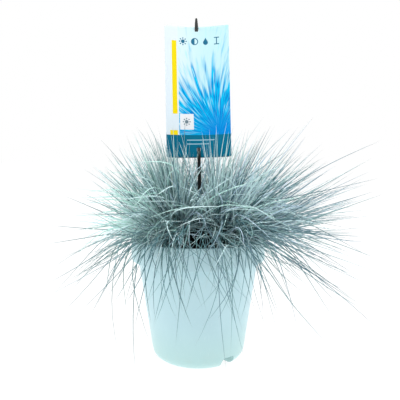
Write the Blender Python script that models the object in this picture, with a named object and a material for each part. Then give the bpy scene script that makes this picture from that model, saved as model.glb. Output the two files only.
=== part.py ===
"""A potted blue fescue clump: nursery pot, soil, crown, leaf tufts, and a plant label on its stake.

Metres, +Z up. The origin is on the floor at the middle of the pot, and -Y is the front. The soil fills
the pot to just under its rim. The clump's crown, a low dome, sits on the soil, and every leaf tuft
springs from the crown along a line through one root point, so that no two tufts meet. The label card
is threaded on a stake that goes down through the crown into the soil.
"""

import math

import bmesh
import bpy
import numpy as np
from mathutils import Matrix, Vector

GAP = 0.0004  # clearance between neighbouring pieces
OVERRUN = 0.01  # how far a cutter reaches past what it cuts

# Pot: a thin-walled nursery pot with a collar band round its rim
POT_HEIGHT = 0.155
RIM_RADIUS = 0.085
COLLAR_HEIGHT = 0.027
BODY_TOP_RADIUS = 0.0765  # just under the collar
BODY_BASE_RADIUS = 0.0576  # where the body's slope would meet the floor
WALL = 0.0013
COLLAR_WALL = 0.0020
LIP_ROUND = 0.0010
FOOT_ROUND = 0.014
FOOT_RING = 0.008  # width of the flat ring that the pot stands on
BASE_RECESS = 0.0012  # the middle of the underside is raised by this
BASE_THICKNESS = 0.0026
POT_SEGMENTS = 64

# Drainage notches: arched pockets pressed into the foot, each with a drain hole in its roof
NOTCH_COUNT = 3
NOTCH_FIRST_AZIMUTH = math.radians(-51)
NOTCH_WIDTH = 0.020
NOTCH_HEIGHT = 0.0135
NOTCH_DEPTH = 0.019  # measured in from the body's base radius
NOTCH_CORNER = 0.0055
DRAIN_RADIUS = 0.004
DRAIN_SEGMENTS = 16

# Soil and crown
SOIL_TOP = 0.140
SOIL_CROWNING = 0.0015  # the soil rises by this towards the middle
SOIL_LEVEL_SHARE = 0.72  # share of the soil's radius that is level
ROOT_POINT_HEIGHT = 0.128  # every tuft's line passes through this point on the pot's axis
CROWN_RADIUS = 0.036
CROWN_SEGMENTS = 28
CROWN_RINGS = 5

# Leaf tufts, in rings up the crown. Tilts are from upright, at the root and at the tip; the bend
# begins and ends at these shares of the tuft's length.
TUFT_RINGS = (
    # count, first azimuth, root tilt, tip tilt, length, bend begins, bend ends
    (4, 57.0, 14.0, 50.0, 0.150, 0.00, 1.00),
    (9, 10.0, 31.0, 80.0, 0.178, 0.00, 1.00),
    (12, 0.0, 47.5, 106.0, 0.202, 0.00, 1.00),
    (8, 22.5, 64.0, 122.0, 0.186, 0.12, 1.00),
    (8, 0.0, 63.0, 176.0, 0.208, 0.12, 0.60),
)
TUFT_ROOT_RADIUS = 0.0031
TUFT_BELLY_RADIUS = 0.0050
TUFT_TIP_RADIUS = 0.0010
TUFT_BELLY_SHARE = 0.4  # how far along its length a tuft is fullest
TUFT_TAPER_POWER = 1.3
TUFT_SIDES = 6
TUFT_STATIONS = 10
TUFT_PATH_STEPS = 60
TURN_JITTER = math.radians(3.0)
LENGTH_JITTER = 0.04

# Label: a printed card, bowed back across its width, and the stake threaded through its two slots
CARD_WIDTH = 0.0815
CARD_HEIGHT = 0.1685
CARD_THICKNESS = 0.0005
CARD_CORNER = 0.0025
CARD_BOW = 0.008  # how far the side edges stand in front of the middle
CARD_BOTTOM = Vector((0.0010, 0.0040, 0.2545))  # middle of the card's lower edge
CARD_LEAN_BACK = math.radians(7.6)
CARD_LEAN_LEFT = math.radians(1.15)
CARD_TURN = math.radians(-2.0)  # turned about the upright, right edge back
CARD_COLUMNS = 11
SLOT_WIDTH = 0.0050
SLOT_HEIGHT = 0.0042
UPPER_SLOT = 0.1645  # heights up the card
LOWER_SLOT = 0.0105

STAKE_WIDTH = 0.0043
STAKE_THICKNESS = 0.0012
STAKE_OFFSET = 0.0013  # how far the stake's middle runs in front of or behind the card
STAKE_ABOVE_CARD = 0.0110
STAKE_BELOW_CARD = 0.205
STAKE_POINT = 0.012  # length of the pointed lower end
STAKE_POINT_WIDTH = 0.0012
STAKE_HOLE_TOP = -0.05  # below the card's lower edge, and above the crown

COLOURS = {
    # name: base colour (linear RGB), roughness
    "pale_aqua_plastic": ((0.62, 0.82, 0.86), 0.45),
    "dark_peat": ((0.025, 0.018, 0.013), 0.95),
    "dry_thatch": ((0.16, 0.13, 0.10), 0.90),
    "blue_grey_leaf": ((0.24, 0.37, 0.39), 0.60),
    "printed_card": ((0.10, 0.50, 0.78), 0.35),
    "black_plastic": ((0.02, 0.02, 0.022), 0.40),
}


def clear_scene():
    for obj in list(bpy.data.objects):
        bpy.data.objects.remove(obj)


def material(name):
    """The Principled material of this name, made once."""
    found = bpy.data.materials.get(name)
    if found:
        return found
    colour, roughness = COLOURS[name]
    made = bpy.data.materials.new(name)
    made.use_nodes = True
    shader = made.node_tree.nodes["Principled BSDF"]
    shader.inputs["Base Color"].default_value = (*colour, 1.0)
    shader.inputs["Roughness"].default_value = roughness
    shader.inputs["Metallic"].default_value = 0.0
    return made


def object_from(points, faces, name, finish=None, smooth_angle=None):
    """A mesh object, with its normals pointing out, linked to the scene."""
    mesh = bpy.data.meshes.new(name)
    mesh.from_pydata([tuple(p) for p in points], [], faces)
    edit = bmesh.new()
    edit.from_mesh(mesh)
    bmesh.ops.recalc_face_normals(edit, faces=edit.faces)
    edit.to_mesh(mesh)
    edit.free()
    if finish:
        mesh.materials.append(material(finish))
    if smooth_angle:
        mesh.shade_smooth()
        mesh.set_sharp_from_angle(angle=smooth_angle)
    obj = bpy.data.objects.new(name, mesh)
    bpy.context.scene.collection.objects.link(obj)
    return obj


def as_helper(obj):
    obj.hide_render = True
    obj.display_type = "WIRE"
    return obj


def cut(obj, cutters, label):
    """Takes each cutter out of the object with a live Boolean."""
    for index, cutter in enumerate(cutters):
        boolean = obj.modifiers.new(f"{label} {index + 1}", "BOOLEAN")
        boolean.operation = "DIFFERENCE"
        boolean.solver = "EXACT"
        boolean.object = cutter


def arc(centre, radius, start, end, steps):
    """Points on an arc in the (radius, height) plane, angles from +radius towards +height."""
    angles = [start + (end - start) * i / steps for i in range(steps + 1)]
    return [(centre[0] + radius * math.cos(a), centre[1] + radius * math.sin(a)) for a in angles]


def turned(name, profile, segments, finish=None, smooth_angle=None):
    """A closed solid of revolution from (radius, height) points that start and end on the axis."""
    points = [(0.0, 0.0, profile[0][1])]
    for radius, height in profile[1:-1]:
        for step in range(segments):
            angle = math.tau * step / segments
            points.append((radius * math.cos(angle), radius * math.sin(angle), height))
    points.append((0.0, 0.0, profile[-1][1]))
    rings = len(profile) - 2
    faces = []
    for step in range(segments):
        after = (step + 1) % segments
        faces.append((0, 1 + after, 1 + step))
        for ring in range(rings - 1):
            low = 1 + ring * segments
            high = low + segments
            faces.append((low + step, low + after, high + after, high + step))
        last = 1 + (rings - 1) * segments
        faces.append((last + step, last + after, len(points) - 1))
    return object_from(points, faces, name, finish, smooth_angle)


def foot_arc(inset, floor):
    """The rounded corner between floor and body, moved in by inset, as (radius, height) points."""
    slope_angle = math.atan((BODY_TOP_RADIUS - BODY_BASE_RADIUS) / (POT_HEIGHT - COLLAR_HEIGHT))
    radius = FOOT_ROUND - inset
    centre_radius = BODY_BASE_RADIUS - FOOT_ROUND * math.tan((math.pi / 2 - slope_angle) / 2)
    return arc((centre_radius, floor + radius), radius, -math.pi / 2, -slope_angle, 5)


def pot_outside():
    """The pot's outer form, filled solid."""
    foot = foot_arc(0.0, 0.0)
    ring_inner = foot[0][0] - FOOT_RING
    band_bottom = POT_HEIGHT - COLLAR_HEIGHT
    profile = [(0.0, BASE_RECESS), (ring_inner - BASE_RECESS, BASE_RECESS), (ring_inner, 0.0)]
    profile += foot
    profile.append((BODY_TOP_RADIUS, band_bottom))
    corner = RIM_RADIUS - LIP_ROUND
    profile += arc((corner, band_bottom + LIP_ROUND), LIP_ROUND, -math.pi / 2, 0.0, 2)
    profile += arc((corner, POT_HEIGHT - LIP_ROUND), LIP_ROUND, 0.0, math.pi / 2, 2)
    profile.append((0.0, POT_HEIGHT))
    return turned("pot", profile, POT_SEGMENTS, "pale_aqua_plastic", math.radians(35))


def pot_inside(inset, top):
    """The profile of what fills the pot up to a height, drawn in from its walls by inset, with no lid."""
    wall = WALL + inset
    profile = [(0.0, BASE_THICKNESS + inset)]
    profile += foot_arc(wall, BASE_THICKNESS + inset)
    shoulder = POT_HEIGHT - COLLAR_HEIGHT + wall
    profile.append((BODY_TOP_RADIUS - wall, shoulder))
    profile.append((RIM_RADIUS - COLLAR_WALL - inset, shoulder))
    profile.append((RIM_RADIUS - COLLAR_WALL - inset, top))
    return profile


def notch_cutter(azimuth, grow, name):
    """An arched bar that points in from outside the foot, grown by a clearance on every side."""
    half = NOTCH_WIDTH / 2 + grow
    corner = NOTCH_CORNER + grow
    height = NOTCH_HEIGHT + grow
    outline = [(half, -OVERRUN)]
    outline += arc((half - corner, height - corner), corner, 0.0, math.pi / 2, 3)
    outline += arc((corner - half, height - corner), corner, math.pi / 2, math.pi, 3)
    outline.append((-half, -OVERRUN))
    inner = BODY_BASE_RADIUS - NOTCH_DEPTH - grow
    outer = BODY_BASE_RADIUS + OVERRUN
    points = [Vector((radius, across, up)) for radius in (inner, outer) for across, up in outline]
    turn = Matrix.Rotation(azimuth, 3, "Z")
    points = [turn @ p for p in points]
    count = len(outline)
    faces = [tuple(range(count)), tuple(range(2 * count - 1, count - 1, -1))]
    for i in range(count):
        j = (i + 1) % count
        faces.append((i, j, count + j, count + i))
    return as_helper(object_from(points, faces, name))


def notch_azimuths():
    return [NOTCH_FIRST_AZIMUTH + math.tau * i / NOTCH_COUNT for i in range(NOTCH_COUNT)]


def drain_cutters():
    """Upright pins through the notch roofs and the middle of the base."""
    places = [(0.0, 0.0)]
    reach = BODY_BASE_RADIUS - NOTCH_DEPTH / 2
    places += [(reach * math.cos(a), reach * math.sin(a)) for a in notch_azimuths()]
    low = -OVERRUN
    high = NOTCH_HEIGHT + OVERRUN
    profile = [(0.0, low), (DRAIN_RADIUS, low), (DRAIN_RADIUS, high), (0.0, high)]
    pins = []
    for index, (x, y) in enumerate(places):
        pin = turned(f"drain cutter {index}", profile, DRAIN_SEGMENTS)
        pin.data.transform(Matrix.Translation((x, y, 0.0)))
        pins.append(as_helper(pin))
    return pins


def make_pot():
    pot = pot_outside()
    notches = [notch_cutter(a, 0.0, f"notch {i}") for i, a in enumerate(notch_azimuths())]
    over_notches = [notch_cutter(a, WALL, f"notch roof {i}") for i, a in enumerate(notch_azimuths())]
    profile = pot_inside(0.0, POT_HEIGHT + OVERRUN)
    profile.append((0.0, POT_HEIGHT + OVERRUN))
    cavity = as_helper(turned("cavity", profile, POT_SEGMENTS))
    cut(cavity, over_notches, "keep notch roof")
    cut(pot, [cavity], "hollow")
    cut(pot, notches, "notch")
    cut(pot, drain_cutters(), "drain")


def make_soil(stake_hole):
    profile = pot_inside(GAP, SOIL_TOP - SOIL_CROWNING)
    profile.append((profile[-1][0] * SOIL_LEVEL_SHARE, SOIL_TOP))
    profile.append((0.0, SOIL_TOP))
    soil = turned("potting_soil", profile, POT_SEGMENTS // 2, "dark_peat", math.radians(35))
    clear = WALL + GAP
    notches = [notch_cutter(a, clear, f"notch in soil {i}") for i, a in enumerate(notch_azimuths())]
    cut(soil, notches, "notch")
    cut(soil, [stake_hole], "stake hole")


def make_crown(stake_hole):
    """The part of a sphere about the root point that stands above the soil."""
    floor = SOIL_TOP + GAP
    lowest = math.asin((floor - ROOT_POINT_HEIGHT) / CROWN_RADIUS)
    centre = (0.0, ROOT_POINT_HEIGHT)
    profile = [(0.0, floor)]
    profile += arc(centre, CROWN_RADIUS, lowest, math.pi / 2, CROWN_RINGS)
    profile[-1] = (0.0, ROOT_POINT_HEIGHT + CROWN_RADIUS)
    crown = turned("crown", profile, CROWN_SEGMENTS, "dry_thatch", math.radians(50))
    cut(crown, [stake_hole], "stake hole")


def tuft_path(azimuth, root_tilt, tip_tilt, length, bend_begins, bend_ends):
    """Places along a tuft and its direction at each.

    The tilt from upright goes from the root's to the tip's in one smooth step (3u^2 - 2u^3), where u
    runs from 0 to 1 between the two ends of the bend. Adding up the direction gives the path.
    """
    share = np.linspace(0.0, 1.0, TUFT_PATH_STEPS + 1)
    u = np.clip((share - bend_begins) / (bend_ends - bend_begins), 0.0, 1.0)
    tilt = np.radians(root_tilt + (tip_tilt - root_tilt) * u * u * (3 - 2 * u))
    outward = np.sin(tilt)
    direction = np.stack((outward * math.cos(azimuth), outward * math.sin(azimuth), np.cos(tilt)), 1)
    middle = 0.5 * (direction[1:] + direction[:-1])
    start = np.array((0.0, 0.0, ROOT_POINT_HEIGHT)) + direction[0] * (CROWN_RADIUS + GAP)
    places = np.vstack((start, start + np.cumsum(middle, 0) * length / TUFT_PATH_STEPS))
    return share, places, direction


def tuft_radius(share):
    """Narrow at the root, fullest at the belly, then down to the tip."""
    if share < TUFT_BELLY_SHARE:
        rise = math.sin(math.pi / 2 * share / TUFT_BELLY_SHARE)
        return TUFT_ROOT_RADIUS + (TUFT_BELLY_RADIUS - TUFT_ROOT_RADIUS) * rise
    fall = ((share - TUFT_BELLY_SHARE) / (1 - TUFT_BELLY_SHARE)) ** TUFT_TAPER_POWER
    return TUFT_BELLY_RADIUS + (TUFT_TIP_RADIUS - TUFT_BELLY_RADIUS) * fall


def make_tuft(name, azimuth, root_tilt, tip_tilt, length, bend_begins, bend_ends):
    """One tuft: a tapered round bundle along its path, closed at both ends."""
    shares, places, directions = tuft_path(azimuth, root_tilt, tip_tilt, length, bend_begins, bend_ends)
    across = np.array((-math.sin(azimuth), math.cos(azimuth), 0.0))
    points = []
    for station in range(TUFT_STATIONS):
        share = station / (TUFT_STATIONS - 1)
        step = round(share * TUFT_PATH_STEPS)
        over = np.cross(directions[step], across)
        radius = tuft_radius(shares[step])
        for side in range(TUFT_SIDES):
            angle = math.tau * side / TUFT_SIDES
            points.append(places[step] + radius * (math.cos(angle) * across + math.sin(angle) * over))
    faces = [tuple(range(TUFT_SIDES))]
    faces.append(tuple(range(len(points) - TUFT_SIDES, len(points))))
    for station in range(TUFT_STATIONS - 1):
        low = station * TUFT_SIDES
        for side in range(TUFT_SIDES):
            after = (side + 1) % TUFT_SIDES
            high = low + TUFT_SIDES
            faces.append((low + side, low + after, high + after, high + side))
    return object_from(points, faces, name, "blue_grey_leaf", math.radians(60))


def make_tufts():
    """Every ring of tufts. Those on the X and Y axes keep their exact place, so the clump stays centred."""
    random = np.random.default_rng(11)
    number = 0
    for count, first, root_tilt, tip_tilt, length, bend_begins, bend_ends in TUFT_RINGS:
        for index in range(count):
            number += 1
            azimuth = math.radians(first) + math.tau * index / count
            off_axis = abs(math.sin(2 * azimuth))
            turn = random.uniform(-1.0, 1.0) * TURN_JITTER * off_axis
            stretch = 1.0 + random.uniform(-1.0, 1.0) * LENGTH_JITTER * off_axis
            name = f"leaf_tuft_{number:02d}"
            make_tuft(name, azimuth + turn, root_tilt, tip_tilt, length * stretch, bend_begins, bend_ends)


def card_frame():
    """Turns the card's own axes (X across, Y back, Z up the card) into the world's, at its lower edge."""
    turn = Matrix.Rotation(-CARD_TURN, 4, "Z")
    lean = Matrix.Rotation(-CARD_LEAN_LEFT, 4, "Y") @ Matrix.Rotation(-CARD_LEAN_BACK, 4, "X")
    return Matrix.Translation(CARD_BOTTOM) @ lean @ turn


def card_depth(x):
    """How far back the card's middle surface stands at x across it, on its bow."""
    return -CARD_BOW * (2 * x / CARD_WIDTH) ** 2


def box_cutter(low, high, name):
    """A box between two corners of the card's own axes."""
    corners = [(x, y, z) for x in (low[0], high[0]) for y in (low[1], high[1]) for z in (low[2], high[2])]
    faces = [(0, 1, 3, 2), (4, 6, 7, 5), (0, 4, 5, 1), (2, 3, 7, 6), (0, 2, 6, 4), (1, 5, 7, 3)]
    box = object_from([card_frame() @ Vector(c) for c in corners], faces, name)
    return as_helper(box)


def make_card():
    """The bowed card: columns of points front and back, shorter in the rounded corners."""
    half = CARD_WIDTH / 2
    columns = [half * (2 * i / CARD_COLUMNS - 1) for i in range(CARD_COLUMNS + 1)]
    corner_steps = [half - CARD_CORNER * (1 - math.sin(math.radians(a))) for a in (30, 60)]
    columns += [side * x for x in corner_steps for side in (-1, 1)]
    columns = sorted(columns)
    points = []
    for x in columns:
        into_corner = min(1.0, max(0.0, abs(x) - (half - CARD_CORNER)) / CARD_CORNER)
        drop = CARD_CORNER * (1 - math.sqrt(1 - into_corner**2))
        for y in (card_depth(x) - CARD_THICKNESS / 2, card_depth(x) + CARD_THICKNESS / 2):
            points.append(Vector((x, y, drop)))
            points.append(Vector((x, y, CARD_HEIGHT - drop)))
    frame = card_frame()
    points = [frame @ p for p in points]
    faces = [(0, 1, 3, 2)]
    for column in range(len(columns) - 1):
        here = column * 4
        there = here + 4
        for a, b in ((0, 1), (1, 3), (3, 2), (2, 0)):
            faces.append((here + a, here + b, there + b, there + a))
    last = 4 * (len(columns) - 1)
    faces.append((last, last + 2, last + 3, last + 1))
    card = object_from(points, faces, "label_card", "printed_card", math.radians(30))
    slots = []
    for index, height in enumerate((LOWER_SLOT, UPPER_SLOT)):
        low = (-SLOT_WIDTH / 2, -OVERRUN, height - SLOT_HEIGHT / 2)
        high = (SLOT_WIDTH / 2, OVERRUN, height + SLOT_HEIGHT / 2)
        slots.append(box_cutter(low, high, f"slot {index}"))
    cut(card, slots, "slot")


def make_stake():
    """The stake: a flat strip, in front of the card at both ends and behind it between the slots."""
    crossing = SLOT_HEIGHT / 2
    top = CARD_HEIGHT + STAKE_ABOVE_CARD
    half = STAKE_WIDTH / 2
    stations = [(-STAKE_BELOW_CARD, -STAKE_OFFSET, STAKE_POINT_WIDTH / 2)]
    stations.append((STAKE_POINT - STAKE_BELOW_CARD, -STAKE_OFFSET, half))
    stations.append((LOWER_SLOT - crossing, -STAKE_OFFSET, half))
    stations.append((LOWER_SLOT + crossing, STAKE_OFFSET, half))
    stations.append((UPPER_SLOT - crossing, STAKE_OFFSET, half))
    stations.append((UPPER_SLOT + crossing, -STAKE_OFFSET, half))
    for angle in (0, 30, 55, 75):
        turn = math.radians(angle)
        stations.append((top - half * (1 - math.sin(turn)), -STAKE_OFFSET, half * math.cos(turn)))
    frame = card_frame()
    points = []
    for height, depth, width in stations:
        for x, y in ((-width, -0.5), (width, -0.5), (width, 0.5), (-width, 0.5)):
            points.append(frame @ Vector((x, depth + y * STAKE_THICKNESS, height)))
    faces = [(0, 1, 2, 3)]
    for station in range(len(stations) - 1):
        low = 4 * station
        for side in range(4):
            after = (side + 1) % 4
            faces.append((low + side, low + after, low + 4 + after, low + 4 + side))
    last = 4 * (len(stations) - 1)
    faces.append((last, last + 3, last + 2, last + 1))
    object_from(points, faces, "label_stake", "black_plastic", math.radians(30))


def stake_hole_cutter():
    """The stake's lower length, grown by the clearance."""
    side = STAKE_WIDTH / 2 + GAP
    deep = STAKE_THICKNESS / 2 + GAP
    low = (-side, -STAKE_OFFSET - deep, -STAKE_BELOW_CARD - GAP)
    high = (side, -STAKE_OFFSET + deep, STAKE_HOLE_TOP)
    return box_cutter(low, high, "stake hole")


clear_scene()
stake_hole = stake_hole_cutter()
make_pot()
make_soil(stake_hole)
make_crown(stake_hole)
make_tufts()
make_card()
make_stake()
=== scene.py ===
# %% [markdown]
# # A potted clump of blue fescue
# This lesson dresses a finished, measured model of a small ornamental grass in its nursery pot. The
# measured model gives every place and size. What it lacks is the look: thousands of needle leaves, smooth
# moulded plastic, crumbly peat, a bowed printed card. Each of those is made here as a surface worked out
# with numpy and given a finish built from nodes.
# Loading the measured model comes first.

import math
from collections import namedtuple

import bpy
import numpy as np
from mathutils import Matrix, Vector


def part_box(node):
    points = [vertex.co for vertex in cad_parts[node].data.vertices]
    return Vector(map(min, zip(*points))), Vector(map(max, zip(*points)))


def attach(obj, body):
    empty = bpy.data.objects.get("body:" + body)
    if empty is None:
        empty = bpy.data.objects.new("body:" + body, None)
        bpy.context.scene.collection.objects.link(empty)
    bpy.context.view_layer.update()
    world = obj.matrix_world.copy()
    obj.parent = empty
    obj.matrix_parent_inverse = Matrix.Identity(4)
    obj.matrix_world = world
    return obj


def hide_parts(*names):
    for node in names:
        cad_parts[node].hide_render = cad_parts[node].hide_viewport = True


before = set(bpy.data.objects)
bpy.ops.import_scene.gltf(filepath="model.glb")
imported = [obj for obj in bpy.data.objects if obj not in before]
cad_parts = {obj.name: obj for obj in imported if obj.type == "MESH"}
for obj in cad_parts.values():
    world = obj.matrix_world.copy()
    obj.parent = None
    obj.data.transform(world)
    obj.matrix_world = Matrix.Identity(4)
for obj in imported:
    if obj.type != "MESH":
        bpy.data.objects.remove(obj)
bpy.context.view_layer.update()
ROOT_BODY = "root"

# %% [markdown]
# ## The camera
# A product picture of a pot plant is usually taken from just above the rim, close enough for the rim to
# show as a shallow curve. The camera stands 0.6 m in front of the pot, about as high as the leaves, and is
# tipped down by less than six degrees, so the pot's sides stay almost upright in the picture.

# %% Place the camera
CAMERA_PLACE = (0.0023, -0.600, 0.2605)
CAMERA_DIP = math.radians(5.67)  # below level
CAMERA_LENS = 42.57  # mm, on a sensor 36 mm wide
SENSOR_WIDTH = 36.0

scene = bpy.context.scene


def place_object(name, data):
    """A new object in the scene, around a mesh, a lamp or a camera."""
    made = bpy.data.objects.new(name, data)
    scene.collection.objects.link(made)
    return made


camera = place_object("studio_camera", bpy.data.cameras.new("studio_camera"))
camera.data.lens = CAMERA_LENS
camera.data.sensor_width = SENSOR_WIDTH
camera.data.clip_start = 0.01
camera.location = CAMERA_PLACE
camera.rotation_euler = (math.pi / 2 - CAMERA_DIP, 0.0, 0.0)
scene.camera = camera
print("camera:", CAMERA_LENS, "mm lens,", round(math.degrees(CAMERA_DIP), 2), "degrees below level")

# %% [markdown]
# ## Small helpers for node trees
# A finish is a chain of nodes. Writing each link by hand hides the idea, so short helpers do the wiring:
# one adds a node and feeds its inputs, a few do sums, one mixes two colours. An input is fed either with
# another node's output or with a plain value.

# %% Helpers that wire nodes
def feed(tree, node, feeds):
    """Links each named input to a socket, or sets it to a plain value."""
    for key, value in (feeds or {}).items():
        if isinstance(value, bpy.types.NodeSocket):
            tree.links.new(value, node.inputs[key])
        else:
            node.inputs[key].default_value = value
    return node


def add_node(tree, kind, feeds=None, **settings):
    """Adds one shader node, sets its properties and feeds its inputs."""
    made = tree.nodes.new("ShaderNode" + kind)
    for key, value in settings.items():
        setattr(made, key, value)
    return feed(tree, made, feeds)


# %% Sums on values, and mixing
def calc(tree, operation, first, second=0.0, third=0.0, clamp=False):
    """One sum of up to three values, as a socket."""
    feeds = {0: first, 1: second, 2: third}
    return add_node(tree, "Math", feeds, operation=operation, use_clamp=clamp).outputs[0]


def product(tree, whole, *others, clamp=False):
    """Several values multiplied together."""
    for other in others:
        whole = calc(tree, "MULTIPLY", whole, other, clamp=clamp)
    return whole


def between(tree, value, low, high):
    """1 where the value lies between low and high, and 0 elsewhere."""
    return product(tree, calc(tree, "GREATER_THAN", value, low), calc(tree, "LESS_THAN", value, high))


def mix_colours(tree, share, first, second, mode="MIX"):
    """The first colour at share 0 and the second at share 1."""
    feeds = {0: share, 6: first, 7: second}
    return add_node(tree, "Mix", feeds, data_type="RGBA", blend_type=mode).outputs[2]


def smooth_share(tree, value, low, high):
    """0 below low, 1 above high, and a soft S between them. With low above high it falls instead."""
    feeds = {"Value": value, "From Min": low, "From Max": high}
    step = add_node(tree, "MapRange", feeds, interpolation_type="SMOOTHSTEP", clamp=True)
    return step.outputs[0]


def noise(tree, vector, scale, detail=2.0, roughness=0.5, kind="3D"):
    """A cloud of values around one half."""
    feeds = {"Vector": vector, "Scale": scale, "Detail": detail, "Roughness": roughness}
    return add_node(tree, "TexNoise", feeds, noise_dimensions=kind).outputs[0]


def colour(red, green, blue):
    """A screen colour, 0 to 255, as the linear light that shaders work in."""
    parts = np.array((red, green, blue)) / 255.0
    linear = np.where(parts <= 0.04045, parts / 12.92, ((parts + 0.055) / 1.055) ** 2.4)
    return (*linear.tolist(), 1.0)


# %% Node groups and finishes
def new_group(name, inputs, outputs):
    """A shader node group with named sockets. Returns the group, its input node and its output node."""
    group = bpy.data.node_groups.new(name, "ShaderNodeTree")
    for label, kind, value in inputs:
        socket = group.interface.new_socket(label, in_out="INPUT", socket_type="NodeSocket" + kind)
        if value is not None:
            socket.default_value = value
    for label, kind in outputs:
        group.interface.new_socket(label, in_out="OUTPUT", socket_type="NodeSocket" + kind)
    return group, group.nodes.new("NodeGroupInput"), group.nodes.new("NodeGroupOutput")


def use_group(tree, group, feeds):
    """Places a node group in a material and feeds its inputs."""
    placed = tree.nodes.new("ShaderNodeGroup")
    placed.node_tree = group
    return feed(tree, placed, feeds)


def new_finish(name, **constants):
    """A material with a Principled shader. Each constant is set on the shader's own socket."""
    finish = bpy.data.materials.new(name)
    finish.use_nodes = True
    tree = finish.node_tree
    shader = tree.nodes["Principled BSDF"]
    feed(tree, shader, {key.replace("_", " "): value for key, value in constants.items()})
    return finish, tree, shader


def dress(tree, shader, shown, rough, height, strength, distance):
    """Feeds the shader a colour, a roughness and the bump that a height makes, its distance in metres."""
    bump = add_node(tree, "Bump", {"Height": height, "Strength": strength, "Distance": distance})
    feed(tree, shader, {"Base Color": shown, "Roughness": rough, "Normal": bump.outputs[0]})


# %% What a point of a piece knows
def object_place(tree):
    """The place on the piece, in metres."""
    return add_node(tree, "TexCoord").outputs["Object"]


def height_of(tree, place):
    """How high a place is."""
    return add_node(tree, "SeparateXYZ", {0: place}).outputs["Z"]


def attribute(tree, name):
    """A number that the mesh carries at each of its points."""
    return add_node(tree, "Attribute", attribute_name=name).outputs["Fac"]


# %% [markdown]
# ## The studio
# A plant on a white sweep is lit by big soft boxes on both sides and above, and the white surroundings
# fill the shadows. Here the world is white, the floor is a wide pale plane, and four large area lights
# give the leaves their direction.
# The floor shows one brightness to the camera and sends out another as light. It has to look just white,
# because anything brighter would swallow the thin leaves in front of it, yet it has to send up enough
# light to keep the underside of the clump clear. Light Path tells the two apart.

# %% Floor, world and soft boxes
FLOOR_HALF_SIZE = 12.0
FLOOR_SHADE = (0.2, 0.2, 0.2, 1.0)  # under its own light
FLOOR_GLOW = 1.40  # as a light
FLOOR_SEEN = 0.88  # to look at
WHITE = (1.0, 1.0, 1.0, 1.0)
WORLD_SEEN = 1.0
WORLD_FILL = 0.54
WORLD_FRONT_FILL = 0.68
FRONT_BEGINS = 0.1  # how far back a direction points where the front fill begins
FRONT_FULL = -0.9
SOFT_BOXES = (  # name, place, width, height, watts
    ("left_box", (-1.5, -0.7, 1.1), 1.2, 1.2, 11.5),
    ("right_box", (1.6, -0.5, 1.2), 1.2, 1.2, 12.0),
    ("top_box", (0.0, -0.3, 2.2), 1.1, 1.1, 26.0),
    ("back_box", (0.2, 1.9, 1.1), 2.4, 1.4, 7.0),
)
AIM_HEIGHT = 0.15


# %% Make the floor, the world and the lamps
def make_floor():
    """A square plane facing up."""
    mesh = bpy.data.meshes.new("studio_floor")
    near, far = -FLOOR_HALF_SIZE, FLOOR_HALF_SIZE
    mesh.from_pydata([(near, near, 0), (far, near, 0), (far, far, 0), (near, far, 0)], [], [(0, 1, 2, 3)])
    floor = place_object("studio_floor", mesh)
    constants = {"Base_Color": FLOOR_SHADE, "Roughness": 0.9, "Specular_IOR_Level": 0.1}
    finish, tree, shader = new_finish("pale_sweep", Emission_Color=WHITE, **constants)
    seen = add_node(tree, "LightPath").outputs["Is Camera Ray"]
    strength = calc(tree, "MULTIPLY_ADD", seen, FLOOR_SEEN - FLOOR_GLOW, FLOOR_GLOW)
    feed(tree, shader, {"Emission Strength": strength})
    mesh.materials.append(finish)
    return floor


def make_world():
    """White to look at. As a light it is softer, and a little stronger from the front."""
    world = bpy.data.worlds.new("white_room")
    scene.world = world
    world.use_nodes = True
    tree = world.node_tree
    tree.nodes.clear()
    seen = add_node(tree, "LightPath").outputs["Is Camera Ray"]
    direction = add_node(tree, "TexCoord").outputs["Generated"]
    depth = add_node(tree, "SeparateXYZ", {0: direction}).outputs["Y"]
    from_front = smooth_share(tree, depth, FRONT_BEGINS, FRONT_FULL)
    fill = calc(tree, "MULTIPLY_ADD", from_front, WORLD_FRONT_FILL - WORLD_FILL, WORLD_FILL)
    strength = add_node(tree, "Mix", {0: seen, 2: fill, 3: WORLD_SEEN}, data_type="FLOAT").outputs[0]
    back = add_node(tree, "Background", {"Color": WHITE, "Strength": strength})
    add_node(tree, "OutputWorld", {"Surface": back.outputs[0]})


def make_soft_box(name, place, width, height, watts):
    """A rectangular area light aimed at the middle of the plant."""
    lamp = bpy.data.lights.new(name, "AREA")
    lamp.shape = "RECTANGLE"
    lamp.size = width
    lamp.size_y = height
    lamp.energy = watts
    box = place_object(name, lamp)
    box.location = place
    aim = Vector((0.0, 0.0, AIM_HEIGHT)) - Vector(place)
    box.rotation_euler = aim.to_track_quat("-Z", "Y").to_euler()


make_floor()
make_world()
for soft_box in SOFT_BOXES:
    make_soft_box(*soft_box)
scene.view_settings.view_transform = "Standard"
print("studio:", len(SOFT_BOXES), "soft boxes")

# %% [markdown]
# ## Turning arrays into meshes
# Every new piece is an array of points and one or more arrays of faces. `foreach_set` copies a whole array
# into the mesh at once, which is what makes a hundred thousand leaf faces practical. A piece may also
# carry values for its finish: a number at each point, or a flat (u, v) place at each point.

# %% Helpers that make meshes
def join_faces(*blocks):
    """Face arrays of any widths as one flat list of corners and the corner at which each face starts."""
    blocks = [np.asarray(block, np.int32) for block in blocks if len(block)]
    corners = np.concatenate([block.ravel() for block in blocks])
    widths = np.concatenate([np.full(len(block), block.shape[1]) for block in blocks])
    starts = np.concatenate(([0], np.cumsum(widths)[:-1]))
    return corners, starts


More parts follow.
